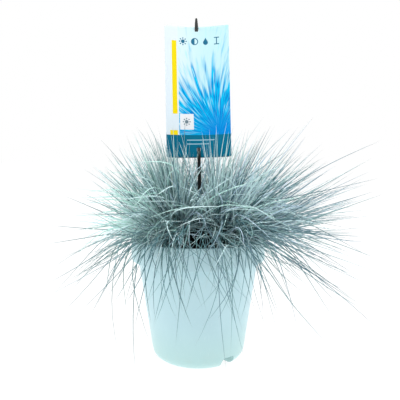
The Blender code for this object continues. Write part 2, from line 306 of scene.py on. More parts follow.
def make_piece(name, points, faces, finish, slot, values=None, flat=None, sharp_angle=None):
    """A smooth-shaded mesh object that rides on the plant. faces is a list of (count, corners) arrays."""
    points = np.asarray(points, np.float32).reshape(-1, 3)
    corners, starts = join_faces(*faces)
    mesh = bpy.data.meshes.new(name)
    mesh.vertices.add(len(points))
    mesh.vertices.foreach_set("co", points.ravel())
    mesh.loops.add(len(corners))
    mesh.loops.foreach_set("vertex_index", corners.astype(np.int32))
    mesh.polygons.add(len(starts))
    mesh.polygons.foreach_set("loop_start", starts.astype(np.int32))
    mesh.polygons.foreach_set("use_smooth", np.ones(len(starts), bool))
    for label, numbers in (values or {}).items():
        attribute = mesh.attributes.new(label, "FLOAT", "POINT")
        attribute.data.foreach_set("value", np.asarray(numbers, np.float32).ravel())
    if flat is not None:
        layer = mesh.uv_layers.new(name="UVMap")
        layer.uv.foreach_set("vector", np.asarray(flat, np.float32).reshape(-1, 2)[corners].ravel())
    mesh.update(calc_edges=True)
    mesh.validate()
    if sharp_angle is not None:
        mesh.set_sharp_from_angle(angle=sharp_angle)
    mesh.materials.append(finish)
    piece = place_object(name, mesh)
    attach(piece, ROOT_BODY)
    return piece


# %% Grids and turned shapes
def grid_faces(rows, columns, closed=False):
    """The quads of a grid of points, row by row. A closed grid joins its last column to its first."""
    row = np.arange(rows - 1)[:, None] * columns
    column = np.arange(columns if closed else columns - 1)[None, :]
    after = (column + 1) % columns
    quads = np.stack((row + column, row + after, row + columns + after, row + columns + column), -1)
    return quads.reshape(-1, 4)


def close_rings(rings, first_pole, last_pole):
    """Stacked rings of points, shape (rings, columns, 3), closed by a fan of triangles at each pole."""
    count, columns = rings.shape[:2]
    points = np.vstack((rings.reshape(-1, 3), first_pole, last_pole))
    here = np.arange(columns)
    after = (here + 1) % columns
    pole = np.full(columns, count * columns)
    last = (count - 1) * columns
    fans = [np.stack((pole, after, here), 1), np.stack((last + here, last + after, pole + 1), 1)]
    return points, [grid_faces(count, columns, closed=True)] + fans


def turn_profile(profile, columns):
    """Carries a (radius, height) profile round the upright axis. Its two ends lie on the axis.

    Each point is (radius cos a, radius sin a, height) for evenly spaced angles a.
    """
    profile = np.asarray(profile, float)
    angle = np.linspace(0.0, math.tau, columns, endpoint=False)
    radius = profile[1:-1, :1]
    x = radius * np.cos(angle)
    y = radius * np.sin(angle)
    z = np.broadcast_to(profile[1:-1, 1:], x.shape)
    return close_rings(np.stack((x, y, z), -1), (0.0, 0.0, profile[0, 1]), (0.0, 0.0, profile[-1, 1]))


# %% Arcs, directions and uneven ground
def arc(centre, radius, start, end, steps):
    """Points on an arc in the (radius, height) plane, angles from +radius towards +height."""
    angle = np.linspace(start, end, steps + 1)
    return np.stack((centre[0] + radius * np.cos(angle), centre[1] + radius * np.sin(angle)), 1)


def unit(vectors):
    """The same directions, each with a length of one."""
    return vectors / np.linalg.norm(vectors, axis=-1, keepdims=True)


def leaning(tilt, heading):
    """The direction at a tilt from upright: (sin tilt cos heading, sin tilt sin heading, cos tilt)."""
    return np.stack((np.sin(tilt) * np.cos(heading), np.sin(tilt) * np.sin(heading), np.cos(tilt)), -1)


def ripples(x, y, coarsest, finest, seed, waves=28):
    """Uneven ground: the sum of many small waves of random direction and length, about -1 to 1."""
    random = np.random.default_rng(seed)
    heading = random.uniform(0.0, math.tau, waves)
    length = np.exp(random.uniform(math.log(finest), math.log(coarsest), waves))
    shift = random.uniform(0.0, math.tau, waves)
    height = length / coarsest
    along = x[..., None] * np.cos(heading) + y[..., None] * np.sin(heading)
    return (height * np.sin(math.tau * along / length + shift)).sum(-1) / math.sqrt(waves)


# %% [markdown]
# ## Effects that several finishes share
# Three effects come back on this object. *Mottle* drifts between two colours, as dye in plastic and bloom
# on a leaf both do. *Handling wear* is the dust and fine scuffing that every nursery pot, stake and card
# picks up. *Fibre* is the fine grooving that runs along a leaf or a dry sheath. Each is a node group, built
# once, with its own knobs.

# %% Mottle
CLOUD_EDGES = (0.32, 0.68)  # noise values at which a cloud begins and is full


def build_mottle():
    """Clouds that lean towards one colour or the other, and the mask that they follow."""
    group, come, go = new_group(
        "mottle",
        [
            ("Vector", "Vector", None),
            ("Base", "Color", (0.5, 0.5, 0.5, 1.0)),
            ("Drift", "Color", (0.4, 0.4, 0.4, 1.0)),
            ("Scale", "Float", 20.0),
            ("Amount", "Float", 1.0),
        ],
        [("Color", "Color"), ("Mask", "Float")],
    )
    broad = noise(group, come.outputs["Vector"], come.outputs["Scale"], detail=3.0)
    mask = smooth_share(group, broad, *CLOUD_EDGES)
    share = product(group, mask, come.outputs["Amount"], clamp=True)
    mixed = mix_colours(group, share, come.outputs["Base"], come.outputs["Drift"])
    feed(group, go, {"Color": mixed, "Mask": mask})
    return group


MOTTLE = build_mottle()


def mottled(tree, place, colours, scale, amount=1.0):
    """A mottle between two colours: its colour and its mask."""
    feeds = {"Vector": place, "Base": colours[0], "Drift": colours[1], "Scale": scale, "Amount": amount}
    placed = use_group(tree, MOTTLE, feeds)
    return placed.outputs["Color"], placed.outputs["Mask"]


# %% Handling wear
GRIME_SCALE = 90.0
GRIME_EDGES = (0.45, 0.75)
SCUFF_STRETCH = (900.0, 900.0, 60.0)  # fine across, long up and down
SCUFF_EDGES = (0.60, 0.74)
SCUFF_COLOUR = (0.8, 0.82, 0.82, 1.0)
DUST_ROUGHENS = 0.3
SCUFF_ROUGHENS = 0.6


def build_wear():
    """Dust that gathers towards the floor, fine scuffs all over, and the roughness they leave."""
    group, come, go = new_group(
        "handling wear",
        [
            ("Vector", "Vector", None),
            ("Color", "Color", (0.5, 0.5, 0.5, 1.0)),
            ("Dust Color", "Color", (0.4, 0.36, 0.3, 1.0)),
            ("Dust", "Float", 0.2),
            ("Dust Height", "Float", 0.03),
            ("Scuffs", "Float", 0.1),
            ("Roughness", "Float", 0.4),
        ],
        [("Color", "Color"), ("Roughness", "Float"), ("Height", "Float")],
    )
    vector = come.outputs["Vector"]
    risen = calc(group, "DIVIDE", height_of(group, vector), come.outputs["Dust Height"])
    low = calc(group, "SUBTRACT", 1.0, risen, clamp=True)
    grime = smooth_share(group, noise(group, vector, GRIME_SCALE, detail=5.0, roughness=0.65), *GRIME_EDGES)
    dust = product(group, low, grime, come.outputs["Dust"], clamp=True)
    stretched = add_node(group, "Mapping", {"Vector": vector, "Scale": SCUFF_STRETCH}).outputs[0]
    streak = noise(group, stretched, 1.0, roughness=0.6)
    scuff = product(group, smooth_share(group, streak, *SCUFF_EDGES), come.outputs["Scuffs"])
    dusty = mix_colours(group, dust, come.outputs["Color"], come.outputs["Dust Color"])
    rough = calc(group, "MULTIPLY_ADD", dust, DUST_ROUGHENS, come.outputs["Roughness"])
    outputs = {
        "Color": mix_colours(group, scuff, dusty, SCUFF_COLOUR),
        "Roughness": calc(group, "MULTIPLY_ADD", scuff, SCUFF_ROUGHENS, rough, clamp=True),
        "Height": calc(group, "SUBTRACT", dust, scuff),
    }
    feed(group, go, outputs)
    return group


WEAR = build_wear()


def handled(tree, place, shown, knobs):
    """Handling wear over a colour: the worn colour, its roughness and its height."""
    placed = use_group(tree, WEAR, {"Vector": place, "Color": shown, **knobs})
    return placed.outputs["Color"], placed.outputs["Roughness"], placed.outputs["Height"]


# %% Fibre
FLECK_SCALE = 4.0
FLECKS_ACROSS = 3.0
FLECKS_ALONG = 9.0


def build_fibre():
    """Grooves that run along a leaf or sheath: a sine of the place across it, with flecks of noise."""
    group, come, go = new_group(
        "fibre",
        [("Across", "Float", 0.0), ("Along", "Float", 0.0), ("Ribs", "Float", 6.0)],
        [("Height", "Float"), ("Fleck", "Float")],
    )
    wave = product(group, come.outputs["Across"], math.tau, come.outputs["Ribs"])
    rib = calc(group, "MULTIPLY_ADD", calc(group, "SINE", wave), 0.5, 0.5)
    across = product(group, come.outputs["Across"], FLECKS_ACROSS)
    along = product(group, come.outputs["Along"], FLECKS_ALONG)
    place = add_node(group, "CombineXYZ", {"X": across, "Y": along}).outputs[0]
    fleck = noise(group, place, FLECK_SCALE)
    height = calc(group, "MULTIPLY_ADD", fleck, 0.5, product(group, rib, 0.5))
    feed(group, go, {"Height": height, "Fleck": fleck})
    return group


FIBRE = build_fibre()


def fibrous(tree, ribs):
    """Fibre on a piece that carries its own places along and across: its height and its flecks."""
    feeds = {"Across": attribute(tree, "across"), "Along": attribute(tree, "along"), "Ribs": ribs}
    placed = use_group(tree, FIBRE, feeds)
    return placed.outputs["Height"], placed.outputs["Fleck"]


print("shared effects:", [g.name for g in (MOTTLE, WEAR, FIBRE)])

# %% [markdown]
# ## The pot
# The pot is one thin shell of injection-moulded plastic: a wide collar to lift it by, a tapering body, a
# rounded foot, three arched notches that let water out, and drain holes. The outer form is a turned
# profile, and a second turned profile, the cavity, is cut out of it to leave the shell. The notches and
# holes aren't round about the axis, so they are cut out of it with a Boolean too, and the cutters are then
# thrown away.

# %% The pot's sizes
POT_HEIGHT = 0.155
RIM_RADIUS = 0.085
COLLAR_HEIGHT = 0.027
BODY_TOP_RADIUS = 0.0765
BODY_BASE_RADIUS = 0.0576  # where the body's slope would meet the floor
WALL = 0.0013
COLLAR_WALL = 0.0020
LIP_ROUND = 0.0010
LIP_FLARE = 0.0005
FOOT_ROUND = 0.014
FOOT_RING = 0.008
BASE_RECESS = 0.0012
BASE_THICKNESS = 0.0026
POT_COLUMNS = 256
POT_BODY_ROWS = 14
NOTCH_COUNT = 3
NOTCH_FIRST_AZIMUTH = math.radians(-51)
NOTCH_WIDTH = 0.020
NOTCH_HEIGHT = 0.0135
NOTCH_DEPTH = 0.019
NOTCH_CORNER = 0.0055
DRAIN_RADIUS = 0.004
OVERRUN = 0.01
BODY_SLOPE = math.atan((BODY_TOP_RADIUS - BODY_BASE_RADIUS) / (POT_HEIGHT - COLLAR_HEIGHT))
POT_CREASE = math.radians(32)
print("the pot's body slopes by", round(math.degrees(BODY_SLOPE), 1), "degrees")


# %% The pot's profile
def foot_arc(inset, floor):
    """The rounded corner between floor and body, moved in by inset."""
    radius = FOOT_ROUND - inset
    centre_radius = BODY_BASE_RADIUS - FOOT_ROUND * math.tan((math.pi / 2 - BODY_SLOPE) / 2)
    return arc((centre_radius, floor + radius), radius, -math.pi / 2, -BODY_SLOPE, 10)


def straight(start, end, steps):
    """Evenly spaced points between two points, without the first."""
    share = np.linspace(0.0, 1.0, steps + 1)[1:, None]
    return np.asarray(start) + share * (np.asarray(end) - np.asarray(start))


def outer_profile():
    """The pot's outer form as if it were solid: underside, foot, body, collar, lip and a flat top."""
    foot = foot_arc(0.0, 0.0)
    band = POT_HEIGHT - COLLAR_HEIGHT
    ring_inner = foot[0, 0] - FOOT_RING
    corner = RIM_RADIUS - LIP_ROUND
    return np.vstack([
        [(0.0, BASE_RECESS), (ring_inner - BASE_RECESS, BASE_RECESS), (ring_inner, 0.0)],
        foot,
        straight(foot[-1], (BODY_TOP_RADIUS, band), POT_BODY_ROWS),
        arc((corner, band + LIP_ROUND), LIP_ROUND, -math.pi / 2, 0.0, 4),
        straight((RIM_RADIUS, band + LIP_ROUND), (RIM_RADIUS, POT_HEIGHT - LIP_ROUND), 4)[:-1],
        arc((corner, POT_HEIGHT - LIP_ROUND), LIP_ROUND, 0.0, math.pi / 2, 4),
        [(0.0, POT_HEIGHT)],
    ])


def cavity_profile(inset=0.0):
    """What fills the pot, drawn in from its walls, with its mouth flared by the lip's inner rounding."""
    wall = WALL + inset
    shoulder = POT_HEIGHT - COLLAR_HEIGHT + wall
    inner_rim = RIM_RADIUS - COLLAR_WALL - inset
    above = POT_HEIGHT + OVERRUN
    return np.vstack([
        [(0.0, BASE_THICKNESS + inset)],
        foot_arc(wall, BASE_THICKNESS + inset),
        [(BODY_TOP_RADIUS - wall, shoulder), (inner_rim, shoulder)],
        [(inner_rim, POT_HEIGHT - LIP_FLARE), (inner_rim + LIP_FLARE, POT_HEIGHT)],
        [(inner_rim + LIP_FLARE, above), (0.0, above)],
    ])


print("profile points:", len(outer_profile()), "outside and", len(cavity_profile()), "inside")

# %% [markdown]
# The plastic is polypropylene dyed a pale aqua. It is satin rather than glossy, has the faintest cloud in
# its dye, turns a trace greener towards the foot, and has a very fine spark-eroded texture from the mould.
# Dust clings near the foot.

# %% The pot's finish
POT_DYE = colour(164, 195, 202), colour(158, 189, 197)
FOOT_DYE = colour(161, 195, 195)  # a trace greener
FOOT_DYE_BELOW = 0.07
POT_HANDLING = {
    "Dust Color": colour(176, 190, 180),
    "Dust": 0.35,
    "Dust Height": 0.03,
    "Scuffs": 0.10,
    "Roughness": 0.42,
}
MOULD_GRAIN = 2600.0


def pot_finish():
    """Pale aqua satin plastic with a fine mould texture and a dusty foot."""
    finish, tree, shader = new_finish("pale_aqua_plastic", IOR=1.49)
    place = object_place(tree)
    dye, _ = mottled(tree, place, POT_DYE, scale=24.0, amount=0.7)
    greener = smooth_share(tree, height_of(tree, place), FOOT_DYE_BELOW, 0.0)
    body = mix_colours(tree, greener, dye, FOOT_DYE)
    shown, rough, worn = handled(tree, place, body, POT_HANDLING)
    grain = product(tree, noise(tree, place, MOULD_GRAIN), 0.5)
    relief = calc(tree, "MULTIPLY_ADD", worn, 0.6, grain)
    dress(tree, shader, shown, rough, relief, strength=0.25, distance=0.0002)
    return finish


# %% Cutters for notches and drain holes
def bare_object(name, points, faces):
    """An object that only cuts, and is thrown away afterwards."""
    mesh = bpy.data.meshes.new(name)
    mesh.from_pydata(points.tolist(), [], [face for block in faces for face in block.tolist()])
    return place_object(name, mesh)


def notch_cutter(azimuth, grow, name):
    """An arched bar that points in from outside the foot, grown all round: an outline carried inwards."""
    half = NOTCH_WIDTH / 2 + grow
    corner = NOTCH_CORNER + grow
    top = NOTCH_HEIGHT + grow
    right = arc((half - corner, top - corner), corner, 0.0, math.pi / 2, 8)
    left = arc((corner - half, top - corner), corner, math.pi / 2, math.pi, 8)
    outline = np.vstack([[(half, -OVERRUN)], right, left, [(-half, -OVERRUN)]])
    count = len(outline)
    reach = np.repeat((BODY_BASE_RADIUS - NOTCH_DEPTH - grow, BODY_BASE_RADIUS + OVERRUN), count)
    across = np.tile(outline[:, 0], 2)
    up = np.tile(outline[:, 1], 2)
    x = reach * math.cos(azimuth) - across * math.sin(azimuth)
    y = reach * math.sin(azimuth) + across * math.cos(azimuth)
    here = np.arange(count)
    after = (here + 1) % count
    ends = np.stack((here[::-1], count + here))
    quads = np.stack((here, after, count + after, count + here), 1)
    return bare_object(name, np.stack((x, y, up), 1), [ends, quads])


def drain_cutter(x, y, name):
    """An upright pin."""
    profile = [(0.0, -OVERRUN), (DRAIN_RADIUS, -OVERRUN), (DRAIN_RADIUS, 2 * OVERRUN), (0.0, 2 * OVERRUN)]
    points, faces = turn_profile(profile, 32)
    return bare_object(name, points + np.array((x, y, 0.0)), faces)


def cut_and_keep(piece, cutters):
    """Cuts the piece with live Booleans, keeps the result as its mesh, and removes the cutters."""
    for cutter in cutters:
        boolean = piece.modifiers.new("cut", "BOOLEAN")
        boolean.operation = "DIFFERENCE"
        boolean.solver = "EXACT"
        boolean.object = cutter
    bpy.context.view_layer.update()
    result = bpy.data.meshes.new_from_object(piece.evaluated_get(bpy.context.evaluated_depsgraph_get()))
    piece.modifiers.clear()
    piece.data = result
    for cutter in cutters:
        bpy.data.objects.remove(cutter)


# %% Make the pot
def make_pot():
    """The outer form, less the cavity, the notches and the drain holes. Each notch keeps a roof inside."""
    points, faces = turn_profile(outer_profile(), POT_COLUMNS)
    pot = make_piece("nursery_pot", points, faces, pot_finish(), "pot_plastic")
    azimuths = NOTCH_FIRST_AZIMUTH + math.tau * np.arange(NOTCH_COUNT) / NOTCH_COUNT
    cavity = bare_object("cavity", *turn_profile(cavity_profile(), POT_COLUMNS))
    cut_and_keep(cavity, [notch_cutter(a, WALL, f"notch_roof_{i}") for i, a in enumerate(azimuths)])
    reach = BODY_BASE_RADIUS - NOTCH_DEPTH / 2
    drains = [(0.0, 0.0)] + [(reach * math.cos(a), reach * math.sin(a)) for a in azimuths]
    cutters = [cavity]
    cutters += [notch_cutter(a, 0.0, f"notch_{i}") for i, a in enumerate(azimuths)]
    cutters += [drain_cutter(x, y, f"drain_{i}") for i, (x, y) in enumerate(drains)]
    cut_and_keep(pot, cutters)
    pot.data.shade_smooth()
    pot.data.set_sharp_from_angle(angle=POT_CREASE)
    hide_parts("pot")
    return pot


pot = make_pot()
print("pot:", len(pot.data.polygons), "faces")

# %% [markdown]
# ## The compost
# Inside the rim lies dark, fibrous compost, slightly crowned and uneven. Its top is a disc of points on
# rings, raised by many small waves, and it closes into a plug that ends above the drain notches. Loose
# crumbs are the part that catches the eye, so several hundred little twenty-sided lumps are scattered on
# top, with a few white grains of perlite among them.

# %% The compost's surface
SOIL_TOP = 0.140
SOIL_CROWNING = 0.0015
SOIL_BOTTOM = 0.0165  # above the roofs of the notches
SOIL_GAP = 0.0006
SOIL_RINGS = 46
SOIL_COLUMNS = 150
INNERMOST_RING = 0.02  # as a share of the radius
SOIL_ROUGHNESS = 0.0011
COARSEST_LUMP = 0.016
FINEST_LUMP = 0.0025
SOIL_RADIUS = RIM_RADIUS - COLLAR_WALL - SOIL_GAP


def soil_height(x, y):
    """Highest in the middle, lower at the rim, and uneven all over."""
    share = np.hypot(x, y) / SOIL_RADIUS
    level = SOIL_TOP - SOIL_CROWNING * share**3
    return level + SOIL_ROUGHNESS * (ripples(x, y, COARSEST_LUMP, FINEST_LUMP, seed=5) - 0.6)


def make_soil_points():
    """Rings of the plug's sides going up, then of its top from the rim inwards."""
    angle = np.linspace(0.0, math.tau, SOIL_COLUMNS, endpoint=False)
    shoulder = POT_HEIGHT - COLLAR_HEIGHT + WALL + SOIL_GAP
    low_radius = BODY_BASE_RADIUS + SOIL_BOTTOM * math.tan(BODY_SLOPE) - WALL - SOIL_GAP
    high_radius = BODY_TOP_RADIUS - WALL - SOIL_GAP
    side = np.array(((low_radius, SOIL_BOTTOM), (high_radius, shoulder), (SOIL_RADIUS, shoulder)))
    top_radius = SOIL_RADIUS * np.linspace(1.0, INNERMOST_RING, SOIL_RINGS)
    radius = np.concatenate((side[:, 0], top_radius))[:, None] * np.ones(SOIL_COLUMNS)
    x = radius * np.cos(angle)
    y = radius * np.sin(angle)
    z = soil_height(x, y)
    z[:3] = side[:, 1:]
    return close_rings(np.stack((x, y, z), -1), (0.0, 0.0, SOIL_BOTTOM), (0.0, 0.0, SOIL_TOP))


# %% Crumbs
CRUMB_COUNT = 620
CRUMB_SIZE = (0.0007, 0.0030)  # half widths, smallest and largest
CRUMB_MIX = (1.3, 2.6)  # beta shape: more small ones than large
CRUMB_SQUASH = (0.55, 1.25)
CRUMB_BRUISE = (0.75, 1.15)
CRUMB_SINK = 0.35  # how high a crumb's middle stands, as a share of its size
CRUMB_MARGIN = 0.004  # kept free inside the rim
CRUMB_RING = (0.12, 1.0)  # squares of the nearest and furthest shares of the radius
PERLITE_SHARE = 0.05


# %% Twenty-sided lumps
def twenty_faces():
    """The corners and faces of a regular twenty-sided lump: three golden rectangles crossed."""
    golden = (1 + math.sqrt(5)) / 2
    corners = [(0, a, b) for a in (-1, 1) for b in (-golden, golden)]
    corners += [(a, b, 0) for a in (-1, 1) for b in (-golden, golden)]
    corners += [(b, 0, a) for a in (-1, 1) for b in (-golden, golden)]
    corners = np.array(corners, float) / math.hypot(1, golden)
    edge = 2 / math.hypot(1, golden) * 1.01
    near = np.linalg.norm(corners[:, None] - corners[None], axis=2) < edge
    i, j, k = np.meshgrid(*(np.arange(12),) * 3, indexing="ij")
    found = (i < j) & (j < k) & near[i, j] & near[j, k] & near[i, k]
    faces = np.stack((i[found], j[found], k[found]), 1)
    a, b, c = (corners[faces[:, n]] for n in range(3))
    inward = (np.cross(b - a, c - a) * a).sum(1) < 0
    faces[inward] = faces[inward][:, ::-1]
    return corners, faces


def random_turns(random, count):
    """Random rotation matrices, from random directions made square to each other."""
    first = unit(random.normal(size=(count, 3)))
    second = unit(np.cross(first, random.normal(size=(count, 3))))
    return np.stack((first, second, np.cross(first, second)), 1)


# %% Scatter the crumbs
def make_crumb_points():
    """Copies of one lump, each squashed, bruised, turned and set down on the compost."""
    random = np.random.default_rng(23)
    corners, faces = twenty_faces()
    radius = (SOIL_RADIUS - CRUMB_MARGIN) * np.sqrt(random.uniform(*CRUMB_RING, CRUMB_COUNT))
    angle = random.uniform(0.0, math.tau, CRUMB_COUNT)
    x = radius * np.cos(angle)
    y = radius * np.sin(angle)
    size = CRUMB_SIZE[0] * (CRUMB_SIZE[1] / CRUMB_SIZE[0]) ** random.beta(*CRUMB_MIX, CRUMB_COUNT)
    squash = random.uniform(*CRUMB_SQUASH, (CRUMB_COUNT, 1, 3))
    bruise = random.uniform(*CRUMB_BRUISE, (CRUMB_COUNT, 12, 1))
    lumps = corners[None] * squash * bruise * size[:, None, None]
    lumps = np.einsum("npk,nkj->npj", lumps, random_turns(random, CRUMB_COUNT))
    centre = np.stack((x, y, soil_height(x, y) + CRUMB_SINK * size), 1)
    pale = (random.uniform(size=CRUMB_COUNT) < PERLITE_SHARE).astype(float)
    all_faces = faces[None] + 12 * np.arange(CRUMB_COUNT)[:, None, None]
    return lumps + centre[:, None], all_faces.reshape(-1, 3), np.repeat(pale, 12)


# %% [markdown]
# Peat is matt, nearly black when moist and browner on its dry peaks, with fibres in it. One finish serves
# the surface and the crumbs: the crumbs carry a number called `pale`, which turns some of them into
# perlite.

# %% Make the compost
PEAT = colour(32, 26, 22), colour(62, 50, 40)
DRY_PEAT = colour(92, 76, 60)
DRY_PEAKS = (0.55, 0.75)
PERLITE = colour(226, 222, 212)


def peat_finish():
    """Moist peat: two scales of mottle, fibrous bump, and perlite where the piece says so."""
    finish, tree, shader = new_finish("dark_peat", Specular_IOR_Level=0.3)
    place = object_place(tree)
    damp, mask = mottled(tree, place, PEAT, scale=160.0)
    speckle = noise(tree, place, 900.0, detail=3.0, roughness=0.7)
    soil = mix_colours(tree, smooth_share(tree, speckle, *DRY_PEAKS), damp, DRY_PEAT)
    shown = mix_colours(tree, attribute(tree, "pale"), soil, PERLITE)
    rough = calc(tree, "MULTIPLY_ADD", mask, 0.2, 0.75)
    dress(tree, shader, shown, rough, speckle, strength=0.9, distance=0.0008)
    return finish


def make_compost():
    """The plug and the loose crumbs on it."""
    peat = peat_finish()
    soil = make_piece("compost", *make_soil_points(), peat, "peat")
    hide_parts("potting_soil")
    points, faces, pale = make_crumb_points()
    crumbs = make_piece("compost_crumbs", points, [faces], peat, "peat", {"pale": pale})
    return soil, crumbs


compost, crumbs = make_compost()
print("compost:", len(compost.data.polygons), "faces, crumbs:", CRUMB_COUNT)

# %% [markdown]
# ## How one leaf is made
# A fescue leaf is rolled into a needle. It leaves the crown almost straight, then bends a little more the
# further out it is, from its own weight. So a leaf needs only a few numbers: where it starts, how far it
# tilts from upright at its root and at its tip, where along it the bend begins and ends, how its heading
# drifts, and how long it is.
# The tilt goes from the root's to the tip's in one smooth step. The direction at each place follows from
# the tilt and heading, and adding up the directions gives the path. All leaves of a family are worked out
# together, as arrays with one row to a leaf. Only some places on a path become rings of the mesh, so the
# line that the mesh follows runs straight from ring to ring, and that line is what gets tested for room.
# Each leaf is then given three sides along its path and one closing point at its tip: a few dozen faces,
# which is all that something under a millimetre thick can show.

# %% Leaf paths
PATH_STEPS = 36  # a path is worked out this finely
TEST_STEPS = 120  # and tested this finely, so that it can't jump over a thin wall
LEAF_STATIONS = 12  # places along a leaf that become rings of its mesh
LEAF_SIDES = 3
ROOT_GIRTH = 0.75  # the waist at the root, as a share of the full thickness


def leaf_paths(start, heading, root_tilt, tip_tilt, begins, ends, drift, wander, length):
    """Places along each leaf, shape (leaves, PATH_STEPS + 1, 3).

    tilt = root + (tip - root) (3u^2 - 2u^3), u being the share of the bend that is done;
    heading = first heading + drift times share^2;
    direction = the lean at that tilt and heading + wander (1/2 + share).
    """
    share = np.linspace(0.0, 1.0, PATH_STEPS + 1)[None, :]
    u = np.clip((share - begins[:, None]) / (ends - begins)[:, None], 0.0, 1.0)
    tilt = root_tilt[:, None] + (tip_tilt - root_tilt)[:, None] * u * u * (3 - 2 * u)
    turn = heading[:, None] + drift[:, None] * share**2
    direction = unit(leaning(tilt, turn) + wander[:, None, :] * (0.5 + share[..., None]))
    middle = 0.5 * (direction[:, 1:] + direction[:, :-1])
    run = np.cumsum(middle, 1) * (length / PATH_STEPS)[:, None, None]
    return start[:, None, :] + np.concatenate((np.zeros_like(run[:, :1]), run), 1)


# %% From a path to the rings of a mesh
def ring_places():
    """The steps of a path that become rings of the mesh."""
    return np.round(np.linspace(0, PATH_STEPS, LEAF_STATIONS)).astype(int)


def straight_runs(paths):
    """The line that the mesh really follows: straight from ring to ring, at many places to test."""
    picked = ring_places()
    step = np.linspace(0.0, PATH_STEPS, TEST_STEPS + 1)
    before = np.clip(np.searchsorted(picked, step, side="right") - 1, 0, LEAF_STATIONS - 2)
    low = picked[before]
    high = picked[before + 1]
    share = ((step - low) / (high - low))[None, :, None]
    return paths[:, low] * (1 - share) + paths[:, high] * share


# %% Leaf meshes
def leaf_mesh(paths, radius, taper):
    """Points, faces and the share along each leaf, from its path, its thickness and how it tapers.

    Ring radius = radius (1 - share^taper) with a slim waist at the root. The last place is one point.
    """
    centre = paths[:, ring_places()]
    count = len(centre)
    share = np.linspace(0.0, 1.0, LEAF_STATIONS)
    along = unit(np.gradient(centre, axis=1))
    chord = centre[:, -1] - centre[:, 0]
    across = np.stack((-chord[:, 1], chord[:, 0], 0.02 * chord[:, 2]), 1)[:, None, :]
    over = unit(np.cross(along, across))
    across = np.cross(over, along)
    waist = ROOT_GIRTH + (1.0 - ROOT_GIRTH) * np.sqrt(share)
    girth = radius[:, None] * (1.0 - share[None, :] ** taper[:, None]) * waist
    angle = math.tau * np.arange(LEAF_SIDES) / LEAF_SIDES
    spoke = np.cos(angle)[:, None] * across[:, :, None] + np.sin(angle)[:, None] * over[:, :, None]
    rings = centre[:, :-1, None] + girth[:, :-1, None, None] * spoke[:, :-1]
    points = np.concatenate((rings.reshape(count, -1, 3), centre[:, -1:]), 1)
    ring_count = LEAF_STATIONS - 1
    quads = grid_faces(ring_count, LEAF_SIDES, closed=True)
    side = np.arange(LEAF_SIDES)
    last = (ring_count - 1) * LEAF_SIDES
    tip = np.full(LEAF_SIDES, ring_count * LEAF_SIDES)
    fan = np.stack((last + side, last + (side + 1) % LEAF_SIDES, tip), 1)
    fan = np.vstack((fan, side[::-1]))
    offset = points.shape[1] * np.arange(count)[:, None, None]
    faces = [(quads + offset).reshape(-1, 4), (fan + offset).reshape(-1, 3)]
    place = np.append(np.repeat(share[:-1], LEAF_SIDES), 1.0)
    round_it = np.append(np.tile(side / LEAF_SIDES, ring_count), 0.5)
    return points, faces, np.tile(place, count), np.tile(round_it, count)


# %% [markdown]
# ## Where the label is
# The leaves grow round the label and its stake, so their place is needed before the leaves are drawn. The
# card has axes of its own: x across it, y through it to the back, z up it. It leans back a little, and its
# side edges curl forward.

# %% The label's place
CARD_WIDTH = 0.0815
CARD_HEIGHT = 0.1685
CARD_BOW = 0.008
CARD_BOTTOM = Vector((0.0010, 0.0040, 0.2545))
CARD_LEAN_BACK = math.radians(7.6)
CARD_LEAN_LEFT = math.radians(1.15)
CARD_TURN = math.radians(-2.0)
STAKE_OFFSET = 0.0013


def card_frame():
    """Turns the card's own axes into the world's, at the middle of its lower edge."""
    turn = Matrix.Rotation(-CARD_TURN, 4, "Z")
    lean = Matrix.Rotation(-CARD_LEAN_LEFT, 4, "Y") @ Matrix.Rotation(-CARD_LEAN_BACK, 4, "X")
    return Matrix.Translation(CARD_BOTTOM) @ lean @ turn


def onto_card(points):
    """Points in the card's own axes, as points in the world."""
    frame_matrix = np.array(card_frame())
    return np.asarray(points) @ frame_matrix[:3, :3].T + frame_matrix[:3, 3]


def off_card(points):
    """Points in the world, as points in the card's own axes."""
    frame_matrix = np.array(card_frame().inverted())
    return points @ frame_matrix[:3, :3].T + frame_matrix[:3, 3]


def card_depth(x):
    """How far back the card's middle surface stands at x across it: -bow times (2x / width)^2."""
    return -CARD_BOW * (2 * x / CARD_WIDTH) ** 2


print("the card's top edge:", onto_card((0.0, 0.0, CARD_HEIGHT)).round(4).tolist())

# %% [markdown]
# ## Which leaves are possible
# A leaf can't pass through the pot, the card, the stake or the table, and it stays above the compost. The
# easiest way to respect that is to draw more leaves than are needed and keep those whose whole path is
# free, which also leaves every curve natural. The tests are sums on the path arrays. They follow the mesh's
# own straight runs in steps of about a millimetre, or a leaf could jump over the thin wall of the pot.
# Two more tests shape the clump. Small boxes keep the crown, painted dark as shade, and the stake in sight,
# and the reach is shorter on the left and towards the front, where this plant is narrower.

# %% Room for a leaf
RIM_CLEARANCE = 0.0012
LEAF_REACH = 0.2325  # furthest from the axis to the right, to the front or to the back
LEFT_REACH = 0.200
FRONT_NARROWING = 0.32  # how much of its sideways reach a leaf gives up for each metre it comes forward
LEAF_CEILING = 0.335
TABLE_CLEARANCE = 0.004
SOIL_CLEARANCE = -0.001  # a leaf may dip this far into the compost
CARD_MARGIN = 0.002  # round the card's edges
CARD_CLEARANCE = 0.0016  # before and behind its middle
STAKE_ROOM = (0.0034, 0.0022)  # half width and half depth round the stake
GAPS = np.array((  # lowest and highest corners of boxes that no leaf crosses
    ((-0.011, -0.082, 0.140), (0.012, -0.020, 0.1660)),  # the crown, painted dark as shade, shows here
    ((0.0005, -0.050, 0.214), (0.0080, 0.004, 0.250)),  # the stake shows here
))


